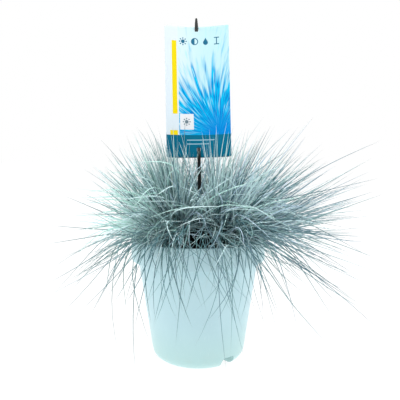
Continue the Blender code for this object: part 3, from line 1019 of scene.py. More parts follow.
# %% Four tests for room
def clear_of_pot(paths):
    """True for paths that never enter the pot's wall, the compost or the table."""
    radius = np.hypot(paths[..., 0], paths[..., 1])
    height = paths[..., 2]
    band = POT_HEIGHT - COLLAR_HEIGHT
    body = BODY_BASE_RADIUS + (BODY_TOP_RADIUS - BODY_BASE_RADIUS) * height / band
    outer = np.where(height > band - RIM_CLEARANCE, RIM_RADIUS, body) + RIM_CLEARANCE
    inner = RIM_RADIUS - COLLAR_WALL - RIM_CLEARANCE
    below_rim = height < POT_HEIGHT + RIM_CLEARANCE
    in_wall = below_rim & (radius > inner) & (radius < outer)
    in_soil = (height < SOIL_TOP + SOIL_CLEARANCE) & (radius < outer)
    in_table = height < TABLE_CLEARANCE
    return ~(in_wall | in_soil | in_table).any(1)


def clear_of_label(paths):
    """True for paths that don't cross the card's sheet or brush the stake."""
    local = off_card(paths)
    x = local[..., 0]
    z = local[..., 2]
    depth = local[..., 1] - card_depth(np.clip(x, -CARD_WIDTH / 2, CARD_WIDTH / 2))
    on_card = (np.abs(x) < CARD_WIDTH / 2 + CARD_MARGIN) & (z > -CARD_MARGIN)
    on_card &= z < CARD_HEIGHT + CARD_MARGIN
    crosses = (np.sign(depth[:, 1:]) != np.sign(depth[:, :-1])) & (on_card[:, 1:] | on_card[:, :-1])
    touches = on_card & (np.abs(depth) < CARD_CLEARANCE)
    beside = (np.abs(x) < STAKE_ROOM[0]) & (np.abs(local[..., 1] + STAKE_OFFSET) < STAKE_ROOM[1])
    return ~(crosses.any(1) | touches.any(1) | (beside & (z < 0.0)).any(1))


def clear_of_gap(paths):
    """True for paths that leave the gaps open."""
    free = np.ones(len(paths), bool)
    for low, high in GAPS:
        free &= ~((paths > low) & (paths < high)).all(2).any(1)
    return free


def inside_reach(paths):
    """True for paths that stay within the clump's measured spread, which narrows towards the front."""
    x = paths[..., 0]
    y = paths[..., 1]
    widest = np.where(x > 0, LEAF_REACH, LEFT_REACH) + FRONT_NARROWING * np.minimum(y, 0.0)
    within = (np.abs(x) < widest) & (np.abs(y) < LEAF_REACH) & (paths[..., 2] < LEAF_CEILING)
    return within.all(1)


# %% [markdown]
# ## The families of leaves
# Look at a clump and the leaves sort themselves into families. Most spread outwards in a dome. Some stand
# nearly upright in the middle, and a few taller ones lean a little to the left. Level ones and a long
# spray reach far out to the right, and a few fall away on the left. A skirt and a fringe spill over the
# rim, and an apron and some longer ones hang in front of the pot. A tangle of paler, stouter leaves arches
# across the middle. Each family is one row of named numbers, and one function draws any of them. Each has
# random numbers of its own, so changing one row leaves the others as they are.
# The clump was planted from two halves, side by side. So leaves grow from two rings, and `side_bias` says
# how strongly a family thins out in front and behind, or, where it is below zero, at the two sides.
# `lopsided` makes the leaves on the right longer than those on the left. `bloom` is how much blue wax the
# leaves of a family have, from its oldest leaf to its youngest. Leaves whose tips end below the collar keep
# less of it, a painted shade on the low, hanging leaves.

# %% The table of families
CROWN_CENTRE_HEIGHT = 0.128
CROWN_RADIUS = 0.036
LEAF_SEED = 2024
Family = namedtuple(  # angles in degrees, sizes in metres, the bend's two ends as shares of the length
    "Family",
    "leaves heading spread root_tilt bend length begins ends "
    "drift wander side_bias lopsided radius bloom",
)
FAMILIES = {
    "upright": Family(
        540, 0, 180, (3, 34), (0, 18), (0.076, 0.166), (0, 0.3), (0.9, 1.2),
        14, 0.10, 0.30, 0.00, 0.00074, (0.00, 1.00),
    ),
    "tall": Family(
        96, 222, 46, (4, 28), (0, 12), (0.108, 0.150), (0, 0.3), (0.9, 1.2),
        14, 0.08, 0.00, 0.00, 0.00070, (0.30, 1.00),
    ),
    "dome": Family(
        640, 0, 180, (20, 52), (0, 14), (0.072, 0.176), (0, 0.3), (0.9, 1.2),
        20, 0.12, 0.30, 0.08, 0.00078, (0.00, 1.00),
    ),
    "shoulder": Family(
        96, 0, 180, (46, 72), (0, 12), (0.054, 0.118), (0, 0.3), (0.8, 1.1),
        24, 0.14, 0.00, 0.26, 0.00078, (0.00, 1.00),
    ),
    "skirt": Family(
        40, 0, 180, (66, 88), (0, 16), (0.046, 0.086), (0, 0.3), (0.8, 1.1),
        26, 0.14, -0.80, 0.16, 0.00076, (0.00, 1.00),
    ),
    "long": Family(
        180, 0, 180, (28, 74), (0, 12), (0.110, 0.218), (0, 0.3), (0.9, 1.2),
        12, 0.07, 0.45, 0.16, 0.00060, (0.00, 0.80),
    ),
    "level": Family(
        130, 2, 38, (56, 92), (0, 10), (0.125, 0.226), (0, 0.3), (0.9, 1.2),
        12, 0.07, 0.00, 0.00, 0.00062, (0.05, 0.62),
    ),
    "fringe": Family(
        80, 0, 180, (62, 88), (20, 70), (0.056, 0.092), (0.15, 0.4), (0.8, 1.1),
        40, 0.18, -0.90, 0.16, 0.00072, (0.00, 1.00),
    ),
    "apron": Family(
        300, -88, 42, (62, 90), (20, 85), (0.060, 0.140), (0.15, 0.4), (0.7, 1.0),
        50, 0.22, 0.00, 0.00, 0.00074, (0.00, 1.00),
    ),
    "hanging": Family(
        32, 0, 180, (66, 90), (25, 75), (0.110, 0.215), (0.10, 0.25), (0.5, 0.8),
        26, 0.12, -0.40, 0.16, 0.00064, (0.00, 0.45),
    ),
    "front": Family(
        150, -90, 42, (62, 88), (35, 90), (0.130, 0.235), (0.12, 0.3), (0.5, 0.9),
        40, 0.18, 0.00, 0.00, 0.00066, (0.00, 0.25),
    ),
    "spray": Family(
        72, -12, 42, (62, 86), (12, 54), (0.150, 0.262), (0.05, 0.2), (0.4, 0.7),
        14, 0.08, 0.00, 0.00, 0.00060, (0.00, 0.45),
    ),
    "fall": Family(
        16, 206, 38, (66, 86), (22, 62), (0.150, 0.262), (0.05, 0.2), (0.4, 0.7),
        14, 0.08, 0.00, 0.00, 0.00060, (0.00, 0.40),
    ),
    "tangle": Family(
        150, 0, 180, (8, 48), (40, 95), (0.095, 0.175), (0.05, 0.25), (0.75, 1.05),
        30, 0.06, 0.00, 0.00, 0.00104, (0.90, 1.00),
    ),
    "crossing": Family(
        270, -90, 108, (14, 72), (10, 75), (0.075, 0.165), (0.1, 0.35), (0.8, 1.1),
        60, 0.06, 0.00, 0.00, 0.00104, (0.95, 1.00),
    ),
}
# %% How a family is drawn
HEADING_SCATTER = math.radians(58)  # how loosely a leaf's heading follows its place on the crown
HALF_OFFSET = 0.024  # from the middle of the crown to the middle of each of its two halves
HALF_RADIUS = 0.026
HALF_LEANING = 0.35  # how much likelier a leaf grows from the half that it leans towards
TILT_MIX = (1.4, 1.2)  # beta shapes: how a family is spread between its two ends
LENGTH_MIX = (1.4, 2.2)
BLOOM_MIX = (0.6, 0.6)
FOOT_TILT = (0.25, 1.05)  # how far out on the crown a leaf grows, as a share of its tilt
ROOT_DEPTH = (0.001, 0.006)  # below the crown's surface
GIRTH = (0.75, 1.2)
SPARE = 14  # times more leaves are drawn than kept
HANGING_SHADE_BLOOM = 0.45  # the share of bloom kept by leaves that end below the collar: a painted shade


def draw_family(random, family):
    """Draws spare leaves of one family, keeps the ones that have room, and cuts down to the number."""
    count = family.leaves * SPARE
    heading = np.radians(family.heading + family.spread * random.uniform(-1.0, 1.0, count))
    least, most = family.root_tilt
    tilt = np.radians(least + (most - least) * random.beta(*TILT_MIX, count))
    more = np.radians(random.uniform(*family.bend, count))
    least, most = family.length
    long = least + (most - least) * random.beta(*LENGTH_MIX, count)
    long *= 1.0 + family.lopsided * np.cos(heading)
    foot_heading = heading + random.normal(0.0, 1.0, count) * HEADING_SCATTER
    out = HALF_RADIUS * np.sin(tilt * random.uniform(*FOOT_TILT, count))
    in_right = random.uniform(size=count) < 0.5 + HALF_LEANING * np.cos(heading)
    x = out * np.cos(foot_heading) + np.where(in_right, HALF_OFFSET, -HALF_OFFSET)
    y = out * np.sin(foot_heading)
    dome = CROWN_CENTRE_HEIGHT + np.sqrt(np.maximum(CROWN_RADIUS**2 - x * x - y * y, 0.0))
    start = np.stack((x, y, np.maximum(dome - random.uniform(*ROOT_DEPTH, count), SOIL_TOP)), 1)
    paths = leaf_paths(
        start,
        heading,
        tilt,
        tilt + more,
        random.uniform(*family.begins, count),
        random.uniform(*family.ends, count),
        random.normal(0.0, 1.0, count) * math.radians(family.drift),
        random.normal(0.0, 1.0, (count, 3)) * family.wander,
        long,
    )
    thickness = family.radius * random.uniform(*GIRTH, count)
    thinned = np.sin(heading) ** 2 if family.side_bias > 0 else -np.cos(heading) ** 2
    wanted = random.uniform(size=count) > family.side_bias * thinned
    runs = straight_runs(paths)
    free = wanted & clear_of_pot(runs) & clear_of_label(runs) & clear_of_gap(runs) & inside_reach(runs)
    kept = np.flatnonzero(free)[: family.leaves]
    least, most = family.bloom
    waxy = least + (most - least) * random.beta(*BLOOM_MIX, count)
    # painted shade: leaves that end below the collar keep less bloom, so they come out darker
    waxy *= np.where(paths[:, -1, 2] < POT_HEIGHT - COLLAR_HEIGHT, HANGING_SHADE_BLOOM, 1.0)
    return paths[kept], thickness[kept], waxy[kept]


# %% Draw every leaf
def draw_leaves():
    """All families, one after the other, as paths, thicknesses and amounts of bloom."""
    drawn = []
    for number, (name, family) in enumerate(FAMILIES.items()):
        drawn.append(draw_family(np.random.default_rng((LEAF_SEED, number)), family))
        print(f"{name}: {len(drawn[-1][0])} of {family.leaves} leaves")
    return [np.concatenate(part) for part in zip(*drawn)]


leaf_path, leaf_radius, leaf_bloom = draw_leaves()
print("leaves in all:", len(leaf_path))

# %% [markdown]
# ## The leaf's finish
# Blue fescue is blue because of a waxy bloom over a green leaf, and every leaf has a different amount of it.
# Near the root each leaf is painted almost black, a painted shade for the dark heart of the clump, less so
# on the waxiest leaves. Some leaves lean to green and some to lilac, a few have dried towards straw, and the
# tips are slightly bleached. Each leaf carries numbers for this: `along` and `across` say where on it a
# point is, and `bloom`, `tint` and `dry` are its own. Fine ribs run its whole length.

# %% The colours of a leaf
LEAF_SKIN = colour(38, 88, 96), colour(58, 112, 120)
BLOOM = colour(222, 248, 250)
GREENER = colour(200, 238, 216)
LILAC = colour(222, 218, 248)
GREEN_TINTS = (0.45, 0.0)  # tints at which green begins and is full
LILAC_TINTS = (0.72, 1.0)
TINTING = 0.6  # how far a leaf goes towards green or lilac
FLECK = colour(204, 222, 226)
FLECK_EDGES = (0.35, 0.75)
FLECKING = 0.2
LEAF_STRAW = colour(176, 170, 140), colour(206, 200, 172)
# painted shade near the root of each leaf
PAINTED_ROOT_SHADE = colour(16, 26, 26)
ROOT_SHADE_PART = (0.44, 0.04)  # shares of the length where the painted root shade ends and is full
WAXY = (0.5, 0.95)
WAXY_SHADE_SPARED = 0.7  # how much less painted root shade the waxiest leaves get
TIP = colour(208, 216, 214)
TIP_PART = (0.85, 1.0)
TIP_BLEACHING = 0.20


# %% Make the leaf finish
def leaf_finish():
    """Glaucous leaf: bloom by leaf, painted shade near the root, ribs, dry leaves and pale tips."""
    finish, tree, shader = new_finish("glaucous_leaf", Specular_IOR_Level=0.35)
    along = attribute(tree, "along")
    tint = attribute(tree, "tint")
    waxy = attribute(tree, "bloom")
    ribs, fleck = fibrous(tree, ribs=4.0)
    skin, _ = mottled(tree, object_place(tree), LEAF_SKIN, scale=55.0)
    leaf = mix_colours(tree, waxy, skin, BLOOM)
    green = product(tree, smooth_share(tree, tint, *GREEN_TINTS), TINTING)
    lilac = product(tree, smooth_share(tree, tint, *LILAC_TINTS), TINTING)
    leaf = mix_colours(tree, green, leaf, GREENER, "MULTIPLY")
    leaf = mix_colours(tree, lilac, leaf, LILAC, "MULTIPLY")
    flecked = smooth_share(tree, fleck, *FLECK_EDGES)
    leaf = mix_colours(tree, product(tree, flecked, FLECKING), leaf, FLECK)
    leaf = mix_colours(tree, attribute(tree, "dry"), leaf, mix_colours(tree, flecked, *LEAF_STRAW))
    # painted shade: the root of each leaf darkens to almost black, as the shade deep in the clump
    root_shade_share = calc(tree, "MULTIPLY_ADD", smooth_share(tree, waxy, *WAXY), -WAXY_SHADE_SPARED, 1.0)
    root_shade = product(tree, smooth_share(tree, along, *ROOT_SHADE_PART), root_shade_share)
    leaf = mix_colours(tree, root_shade, leaf, PAINTED_ROOT_SHADE)
    bleached = product(tree, smooth_share(tree, along, *TIP_PART), TIP_BLEACHING)
    leaf = mix_colours(tree, bleached, leaf, TIP)
    rough = calc(tree, "MULTIPLY_ADD", flecked, 0.15, 0.5)
    dress(tree, shader, leaf, rough, ribs, strength=0.35, distance=0.0002)
    return finish


# %% [markdown]
# ## Sharing the leaves out among the tufts
# The measured model has one slim solid for each tuft. Every leaf belongs to the tuft whose line it grows
# closest to, so the clump comes apart into the same tufts, and each piece of leaves stands for its solid.

# %% Numbers for the tufts
DRY_SHARE = 0.004
LEFT_GREENER = 1.5  # how much the tint moves from green to blue with each metre to the right
FEWEST_LEAVES = 14  # a tuft with fewer is given this many
DRYNESS = (0.3, 0.7)
TAPER = (2.0, 5.0)  # the higher, the longer a leaf stays at its full thickness


# %% Which tuft a leaf belongs to
def share_out(names):
    """The number of the tuft that each leaf belongs to: the one whose middle is nearest the leaf's own.

    A tuft that would be left almost bare is given the leaves nearest to it, and a later one may take some
    of them again, so every tuft has leaves, if only a few.
    """
    middle = np.array([(low + high) / 2 for low, high in (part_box(name) for name in names)])
    distance = np.linalg.norm(leaf_path.mean(1)[:, None] - middle[None], axis=2)
    nearest = distance.argmin(1)
    for number in np.flatnonzero(np.bincount(nearest, minlength=len(names)) < FEWEST_LEAVES):
        nearest[distance[:, number].argsort()[:FEWEST_LEAVES]] = number
    return nearest


# %% Make a piece for each tuft
def make_tufts():
    """One piece of leaves for each tuft's solid, with every leaf's own numbers on its points."""
    names = sorted(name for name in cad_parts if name.startswith("leaf_tuft_"))
    random = np.random.default_rng(LEAF_SEED + 1)
    count = len(leaf_path)
    tint = np.clip(random.uniform(size=count) + LEFT_GREENER * leaf_path[..., 0].mean(1), 0.0, 1.0)
    dry = np.where(random.uniform(size=count) < DRY_SHARE, random.uniform(*DRYNESS, count), 0.0)
    taper = random.uniform(*TAPER, count)
    own = {"tint": tint, "dry": dry, "bloom": leaf_bloom}
    nearest = share_out(names)
    finish = leaf_finish()
    tufts = []
    for number, name in enumerate(names):
        mine = np.flatnonzero(nearest == number)
        points, faces, along, across = leaf_mesh(leaf_path[mine], leaf_radius[mine], taper[mine])
        values = {"along": along, "across": across}
        values.update((label, np.repeat(each[mine], points.shape[1])) for label, each in own.items())
        new_name = name.replace("leaf_tuft", "needle_tuft")
        tuft = make_piece(new_name, points, faces, finish, "fescue_leaf", values)
        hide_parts(name)
        tufts.append(tuft)
    return tufts


tufts = make_tufts()
sizes = [len(tuft.data.polygons) for tuft in tufts]
print("tufts:", len(tufts), "faces in one:", min(sizes), "to", max(sizes), "in all:", sum(sizes))

# %% [markdown]
# ## The crown
# Where the leaves meet, an old clump keeps the dead bases of last year's leaves as a tight thatch, painted
# dark here, partly its own brown and partly a painted shade for the depth of the clump.
# It is a low ridged dome, with many short dry sheaths standing on it. The sheaths are leaves too, only
# short, stout and brown, so the leaf functions make them.

# %% The crown's sizes
CROWN_SHRINK = 0.96  # the dome under the sheaths, as a share of the measured crown's radius
CROWN_FLOOR = 0.1404
KNOB_SIZES = (0.007, 0.0018)  # coarsest and finest
KNOB_HEIGHT = 0.0008
SHEATH_COUNT = 1100
SHEATH_LENGTH = (0.008, 0.026)
SHEATH_RADIUS = (0.0006, 0.0012)
SHEATH_TAPER = 2.5
SHEATH_SEED = 77
LOWEST_SHEATH = math.radians(68)  # from upright
SHEATH_ROOT = (0.9, 1.0)  # how deep a sheath begins, as a share of the dome's radius
SHEATH_SCATTER = 0.18
SHEATH_BEND = (0.0, 0.5)
SHEATH_DRIFT = 0.4
SHEATH_WANDER = 0.15


# %% The dome
def crown_dome():
    """The part of a ball above the compost, rippled, as points and faces."""
    radius = CROWN_RADIUS * CROWN_SHRINK
    lowest = math.asin((CROWN_FLOOR - CROWN_CENTRE_HEIGHT) / radius)
    side = arc((0.0, CROWN_CENTRE_HEIGHT), radius, lowest, math.pi / 2 - 0.02, 24)
    profile = np.vstack(([(0.0, CROWN_FLOOR)], side, [(0.0, CROWN_CENTRE_HEIGHT + radius)]))
    points, faces = turn_profile(profile, 96)
    out = points - np.array((0.0, 0.0, CROWN_CENTRE_HEIGHT))
    turn = np.arctan2(out[:, 1], out[:, 0])
    knobs = ripples(radius * turn, points[:, 2], *KNOB_SIZES, seed=31)
    lift = np.where(points[:, 2] > CROWN_FLOOR + 0.001, KNOB_HEIGHT * knobs, 0.0)
    return points + unit(out) * lift[:, None], faces


# %% The sheaths
def crown_sheaths():
    """Short stout leaves standing on the dome, each leaning out as the dome does."""
    random = np.random.default_rng(SHEATH_SEED)
    heading = random.uniform(0.0, math.tau, SHEATH_COUNT)
    tilt = np.arccos(random.uniform(math.cos(LOWEST_SHEATH), 1.0, SHEATH_COUNT))
    reach = CROWN_RADIUS * CROWN_SHRINK * random.uniform(*SHEATH_ROOT, SHEATH_COUNT)
    start = leaning(tilt, heading) * reach[:, None] + np.array((0.0, 0.0, CROWN_CENTRE_HEIGHT))
    still = np.zeros(SHEATH_COUNT)
    paths = leaf_paths(
        start,
        heading,
        tilt + random.normal(0.0, SHEATH_SCATTER, SHEATH_COUNT),
        tilt + random.uniform(*SHEATH_BEND, SHEATH_COUNT),
        still,
        still + 1.0,
        random.normal(0.0, SHEATH_DRIFT, SHEATH_COUNT),
        random.normal(0.0, SHEATH_WANDER, (SHEATH_COUNT, 3)),
        random.uniform(*SHEATH_LENGTH, SHEATH_COUNT),
    )
    free = clear_of_pot(paths) & clear_of_label(paths)
    thick = random.uniform(*SHEATH_RADIUS, SHEATH_COUNT)
    shade = random.uniform(size=SHEATH_COUNT)
    return paths[free], thick[free], shade[free]


# %% Make the crown
# painted shade: the thatch is near black, partly the dead leaves' brown and partly the shade deep in the
# clump
SHADED_THATCH = colour(26, 24, 22), colour(54, 50, 42)
SHEATH_STRAW = colour(40, 40, 34), colour(86, 84, 70)
PALER_SHEATHS = (0.35, 1.0)
SHADE_TO_LIT_PART = (0.1, 0.9)  # shares of a sheath's length over which its painted shade gives way to lit straw


def thatch_finish():
    """Dead leaf bases: dark brown to straw, ribbed, with a painted shade darkest at each sheath's root."""
    finish, tree, shader = new_finish("dry_thatch", Specular_IOR_Level=0.3)
    ribs, fleck = fibrous(tree, ribs=3.0)
    brown, mask = mottled(tree, object_place(tree), SHADED_THATCH, scale=180.0)
    paler = smooth_share(tree, attribute(tree, "shade"), *PALER_SHEATHS)
    lit = product(tree, paler, smooth_share(tree, attribute(tree, "along"), *SHADE_TO_LIT_PART))
    thatch = mix_colours(tree, lit, brown, mix_colours(tree, fleck, *SHEATH_STRAW))
    rough = calc(tree, "MULTIPLY_ADD", mask, 0.2, 0.7)
    dress(tree, shader, thatch, rough, ribs, strength=0.6, distance=0.0004)
    return finish


def make_crown():
    """The dome and the sheaths as one piece."""
    dome, dome_faces = crown_dome()
    paths, thick, shade = crown_sheaths()
    points, faces, along, across = leaf_mesh(paths, thick, np.full(len(paths), SHEATH_TAPER))
    faces = list(dome_faces) + [block + len(dome) for block in faces]
    values = {"along": along, "across": across, "shade": np.repeat(shade, points.shape[1])}
    none = np.zeros(len(dome))  # what the dome itself carries
    values = {label: np.concatenate((none, numbers)) for label, numbers in values.items()}
    points = np.vstack((dome, points.reshape(-1, 3)))
    crown = make_piece("crown_thatch", points, faces, thatch_finish(), "dry_thatch", values)
    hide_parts("crown")
    return crown


crown = make_crown()
print("crown:", len(crown.data.polygons), "faces")

# %% [markdown]
# ## The label card
# The card is printed plastic sheet half a millimetre thick. Its stake pushes it into a shallow bow. The
# sheet is a grid of points on that bow. Lines of the grid lie on the edges of the two slots, so leaving
# out the cells between them opens the slots exactly. The rows near the top and bottom are drawn in at the
# corners to round them. A Solidify modifier then gives the sheet its thickness, with the printed face as one
# finish and the white back and the cut edge sharing a second.

# %% The card's sheet
CARD_THICKNESS = 0.0005
CARD_CORNER = 0.0025
SLOT_WIDTH = 0.0047
SLOT_HEIGHT = 0.0042
SLOT_HEIGHTS = (0.0105, 0.1645)
CARD_COLUMNS = 36
CARD_ROWS = 44
CROWDED = 0.0007  # even lines closer than this to an added line are dropped
CORNER_ANGLES = np.radians((15, 30, 45, 60, 75))


def with_lines(low, high, count, extra):
    """Evenly spaced grid lines, with the extra lines added and crowded neighbours dropped."""
    even = np.linspace(low, high, count)
    extra = np.asarray(extra)
    crowded = np.abs(even[:, None] - extra[None]).min(1) < CROWDED
    crowded[[0, -1]] = False
    return np.sort(np.concatenate((even[~crowded], extra)))


def card_sheet():
    """Points of the bowed sheet, its quads without the slots, and its flat (u, v) places."""
    half = CARD_WIDTH / 2
    into = CARD_CORNER * (1 - np.sin(CORNER_ANGLES))
    upright_lines = np.concatenate((into - half, half - into, (-SLOT_WIDTH / 2, SLOT_WIDTH / 2)))
    x = with_lines(-half, half, CARD_COLUMNS, upright_lines)
    slot_lines = [h + side * SLOT_HEIGHT / 2 for h in SLOT_HEIGHTS for side in (-1, 1)]
    z = with_lines(0.0, CARD_HEIGHT, CARD_ROWS, slot_lines + [CARD_CORNER, CARD_HEIGHT - CARD_CORNER])
    across, up = np.meshgrid(x, z)
    beyond = np.clip(np.abs(across) - (half - CARD_CORNER), 0.0, CARD_CORNER) / CARD_CORNER
    drop = CARD_CORNER * (1 - np.sqrt(1 - beyond**2))
    near_low = np.clip(1 - up / CARD_CORNER, 0.0, 1.0)
    near_high = np.clip(1 - (CARD_HEIGHT - up) / CARD_CORNER, 0.0, 1.0)
    height = up + drop * near_low - drop * near_high
    points = onto_card(np.stack((across, card_depth(across), height), -1).reshape(-1, 3))
    middle_x = np.abs(0.5 * (x[1:] + x[:-1]))[None, :]
    middle_z = (0.5 * (z[1:] + z[:-1]))[:, None]
    opening = np.zeros((len(z) - 1, len(x) - 1), bool)
    for slot_height in SLOT_HEIGHTS:
        opening |= (middle_x < SLOT_WIDTH / 2) & (np.abs(middle_z - slot_height) < SLOT_HEIGHT / 2)
    quads = grid_faces(len(z), len(x)).reshape(len(z) - 1, len(x) - 1, 4)
    flat = np.stack((across / CARD_WIDTH + 0.5, height / CARD_HEIGHT), -1)
    return points, quads[~opening], flat.reshape(-1, 2)


print("card sheet:", len(card_sheet()[1]), "quads")

# %% [markdown]
# The face is printed by sums on the flat (u, v) place, measured in millimetres. From the back forwards: a
# pale sky, a fan of blue leaves opening from the lower right, a pale strip and a plain yellow rule at the
# left, a white square, a dark band along the foot, and a row of plain care symbols: full sun, half shade,
# a drop, and a height mark. There is no lettering. The fan is streaks of noise that run along rays from
# one point, so they narrow towards it.

# %% Masks for printing
MM_ACROSS = CARD_WIDTH * 1000
MM_UP = CARD_HEIGHT * 1000
SUN_DISC = 2.4
SUN_RAYS = (3.2, 5.0)  # where a ray begins and ends
SUN_RAY_COUNT = 8.0
SUN_RAY_EDGE = 0.25  # the lower, the wider a ray
SHADE_RING = (3.5, 4.6)
DROP_HALF_WIDTH = 2.6
DROP_SLOPE = -0.55
DROP_DISC = 3.1
DROP_DISC_BELOW = 1.5
MARK_BAR = (0.6, 4.4)  # half width and half height of the upright
MARK_END = (3.2, 3.6, 4.8)  # half width, lower edge and upper edge of a level bar


def inside_box(tree, x, y, low, high):
    """1 inside a rectangle and 0 outside."""
    return product(tree, between(tree, x, low[0], high[0]), between(tree, y, low[1], high[1]))


def from_point(tree, x, y, centre):
    """The steps across and up from a point, and the distance to it."""
    right = calc(tree, "SUBTRACT", x, centre[0])
    up = calc(tree, "SUBTRACT", y, centre[1])
    squares = calc(tree, "MULTIPLY_ADD", right, right, product(tree, up, up))
    return right, up, calc(tree, "SQRT", squares)


def either(tree, whole, *masks):
    """1 where any of the masks is 1."""
    for mask in masks:
        whole = calc(tree, "MAXIMUM", whole, mask)
    return whole


def inside_boxes(tree, x, y, boxes):
    """1 inside any of several rectangles."""
    return either(tree, *(inside_box(tree, x, y, *box) for box in boxes))


# %% Care symbols
def sun_symbol(tree, x, y, centre):
    """A disc with eight rays. A ray is where the cosine of eight times the angle is high."""
    right, up, away = from_point(tree, x, y, centre)
    angle = calc(tree, "ARCTAN2", up, right)
    wave = calc(tree, "COSINE", product(tree, angle, SUN_RAY_COUNT))
    rays = product(tree, calc(tree, "GREATER_THAN", wave, SUN_RAY_EDGE), between(tree, away, *SUN_RAYS))
    return either(tree, calc(tree, "LESS_THAN", away, SUN_DISC), rays)


def shade_symbol(tree, x, y, centre):
    """A ring with its left half filled."""
    right, _, away = from_point(tree, x, y, centre)
    left = calc(tree, "LESS_THAN", right, 0.0)
    filled = product(tree, left, calc(tree, "LESS_THAN", away, SHADE_RING[1]))
    return either(tree, between(tree, away, *SHADE_RING), filled)


def drop_symbol(tree, x, y, centre):
    """A disc with a point above it: the half width narrows steadily to nothing."""
    right, up, _ = from_point(tree, x, y, centre)
    width = calc(tree, "MULTIPLY_ADD", up, DROP_SLOPE, DROP_HALF_WIDTH)
    in_point = calc(tree, "LESS_THAN", calc(tree, "ABSOLUTE", right), width)
    above = product(tree, in_point, calc(tree, "GREATER_THAN", up, -0.5))
    _, _, away = from_point(tree, x, y, (centre[0], centre[1] - DROP_DISC_BELOW))
    return either(tree, above, calc(tree, "LESS_THAN", away, DROP_DISC))


def height_symbol(tree, x, y, centre):
    """An upright bar between two short level ones."""
    cx, cy = centre
    half, tall = MARK_BAR
    wide, inner, outer = MARK_END
    boxes = (
        ((cx - half, cy - tall), (cx + half, cy + tall)),
        ((cx - wide, cy - outer), (cx + wide, cy - inner)),
        ((cx - wide, cy + inner), (cx + wide, cy + outer)),
    )
    return inside_boxes(tree, x, y, boxes)


# %% The printed fan of leaves
FAN_CENTRE = (68.0, 30.0)
FAN_REACH = 116.0
FAN_BEND = 0.0016  # how much a ray turns with each millimetre
FAN_GRAIN = 0.0012  # how fast the noise changes along a ray
COARSE_STREAKS = 17.0
FINE_STREAKS = 48.0
THREADS = 33.0
FAN_COVER = (2.0, 2.6, -1.86)  # what nearness, coarse noise and one count for
FAN_BLUES = colour(0, 130, 212), colour(0, 208, 255)
FAN_DEEP = colour(0, 134, 232)
FAN_HAZE = colour(120, 208, 244)
FAN_THREAD = colour(186, 244, 255)


def leaf_fan(tree, x, y, sky):
    """Streaks along rays from one point, deep blue near it, thinning out to the sky.

    cover = a nearness + b coarse noise + c, from FAN_COVER. The ink begins where cover passes zero.
    """
    right, up, away = from_point(tree, x, y, FAN_CENTRE)
    bent = calc(tree, "MULTIPLY_ADD", away, FAN_BEND, calc(tree, "ARCTAN2", up, right))
    ray = add_node(tree, "CombineXYZ", {"X": bent, "Y": product(tree, away, FAN_GRAIN)}).outputs[0]
    coarse = noise(tree, ray, COARSE_STREAKS, detail=1.0)
    fine = noise(tree, ray, FINE_STREAKS)
    nearness = calc(tree, "SUBTRACT", 1.0, calc(tree, "DIVIDE", away, FAN_REACH), clamp=True)
    by_noise = calc(tree, "MULTIPLY_ADD", coarse, FAN_COVER[1], FAN_COVER[2])
    cover = calc(tree, "MULTIPLY_ADD", nearness, FAN_COVER[0], by_noise)
    blue = mix_colours(tree, smooth_share(tree, fine, 0.38, 0.62), *FAN_BLUES)
    depth = product(tree, smooth_share(tree, nearness, 0.60, 1.0), 0.7)
    deep = mix_colours(tree, depth, blue, FAN_DEEP)
    softer = calc(tree, "ADD", cover, calc(tree, "MULTIPLY_ADD", fine, 1.6, -0.45))
    haze = product(tree, smooth_share(tree, softer, 0.0, 0.7), 0.6)
    hazed = mix_colours(tree, haze, sky, FAN_HAZE)
    inked = mix_colours(tree, smooth_share(tree, cover, 0.0, 0.55), hazed, deep)
    thread = smooth_share(tree, noise(tree, ray, THREADS, detail=1.0), 0.57, 0.68)
    faint = product(tree, thread, smooth_share(tree, nearness, 0.95, 0.60), 0.75)
    return mix_colours(tree, faint, inked, FAN_THREAD)


# %% The card's finishes
SKY = colour(206, 246, 250), colour(230, 250, 254)  # at the right and at the left
STRIP_EDGE = 16.5
STRIP = colour(234, 248, 254)
BAND_TOP = 29.0
BAND = colour(4, 112, 142), colour(8, 124, 156)
RULE_BOXES = ((8.6, 56.0), (14.6, 150.0)), ((5.0, BAND_TOP), (14.6, 35.0))
RULE = colour(252, 228, 20)
SQUARE_BOX = (17.5, 36.0), (35.0, 56.0)
SQUARE = colour(246, 250, 252)
SQUARE_SUN = (26.0, 46.0)
SQUARE_SUN_INK = colour(120, 140, 150)
BAR_BOXES = ((26.0, 22.0), (61.0, 23.2)), ((26.0, 17.0), (54.0, 18.2))
BAR = colour(170, 214, 230)
SYMBOL_ROW = 149.5
SYMBOLS = (sun_symbol, 23.0), (shade_symbol, 38.0), (drop_symbol, 52.0), (height_symbol, 66.0)
SYMBOL_INK = colour(42, 116, 148)
VARNISH = colour(221, 220, 222)  # dims the whole print a little
CARD_WHITE = colour(238, 243, 244), colour(228, 236, 238)
CARD_HANDLING = {"Dust": 0.0, "Dust Height": 0.01}


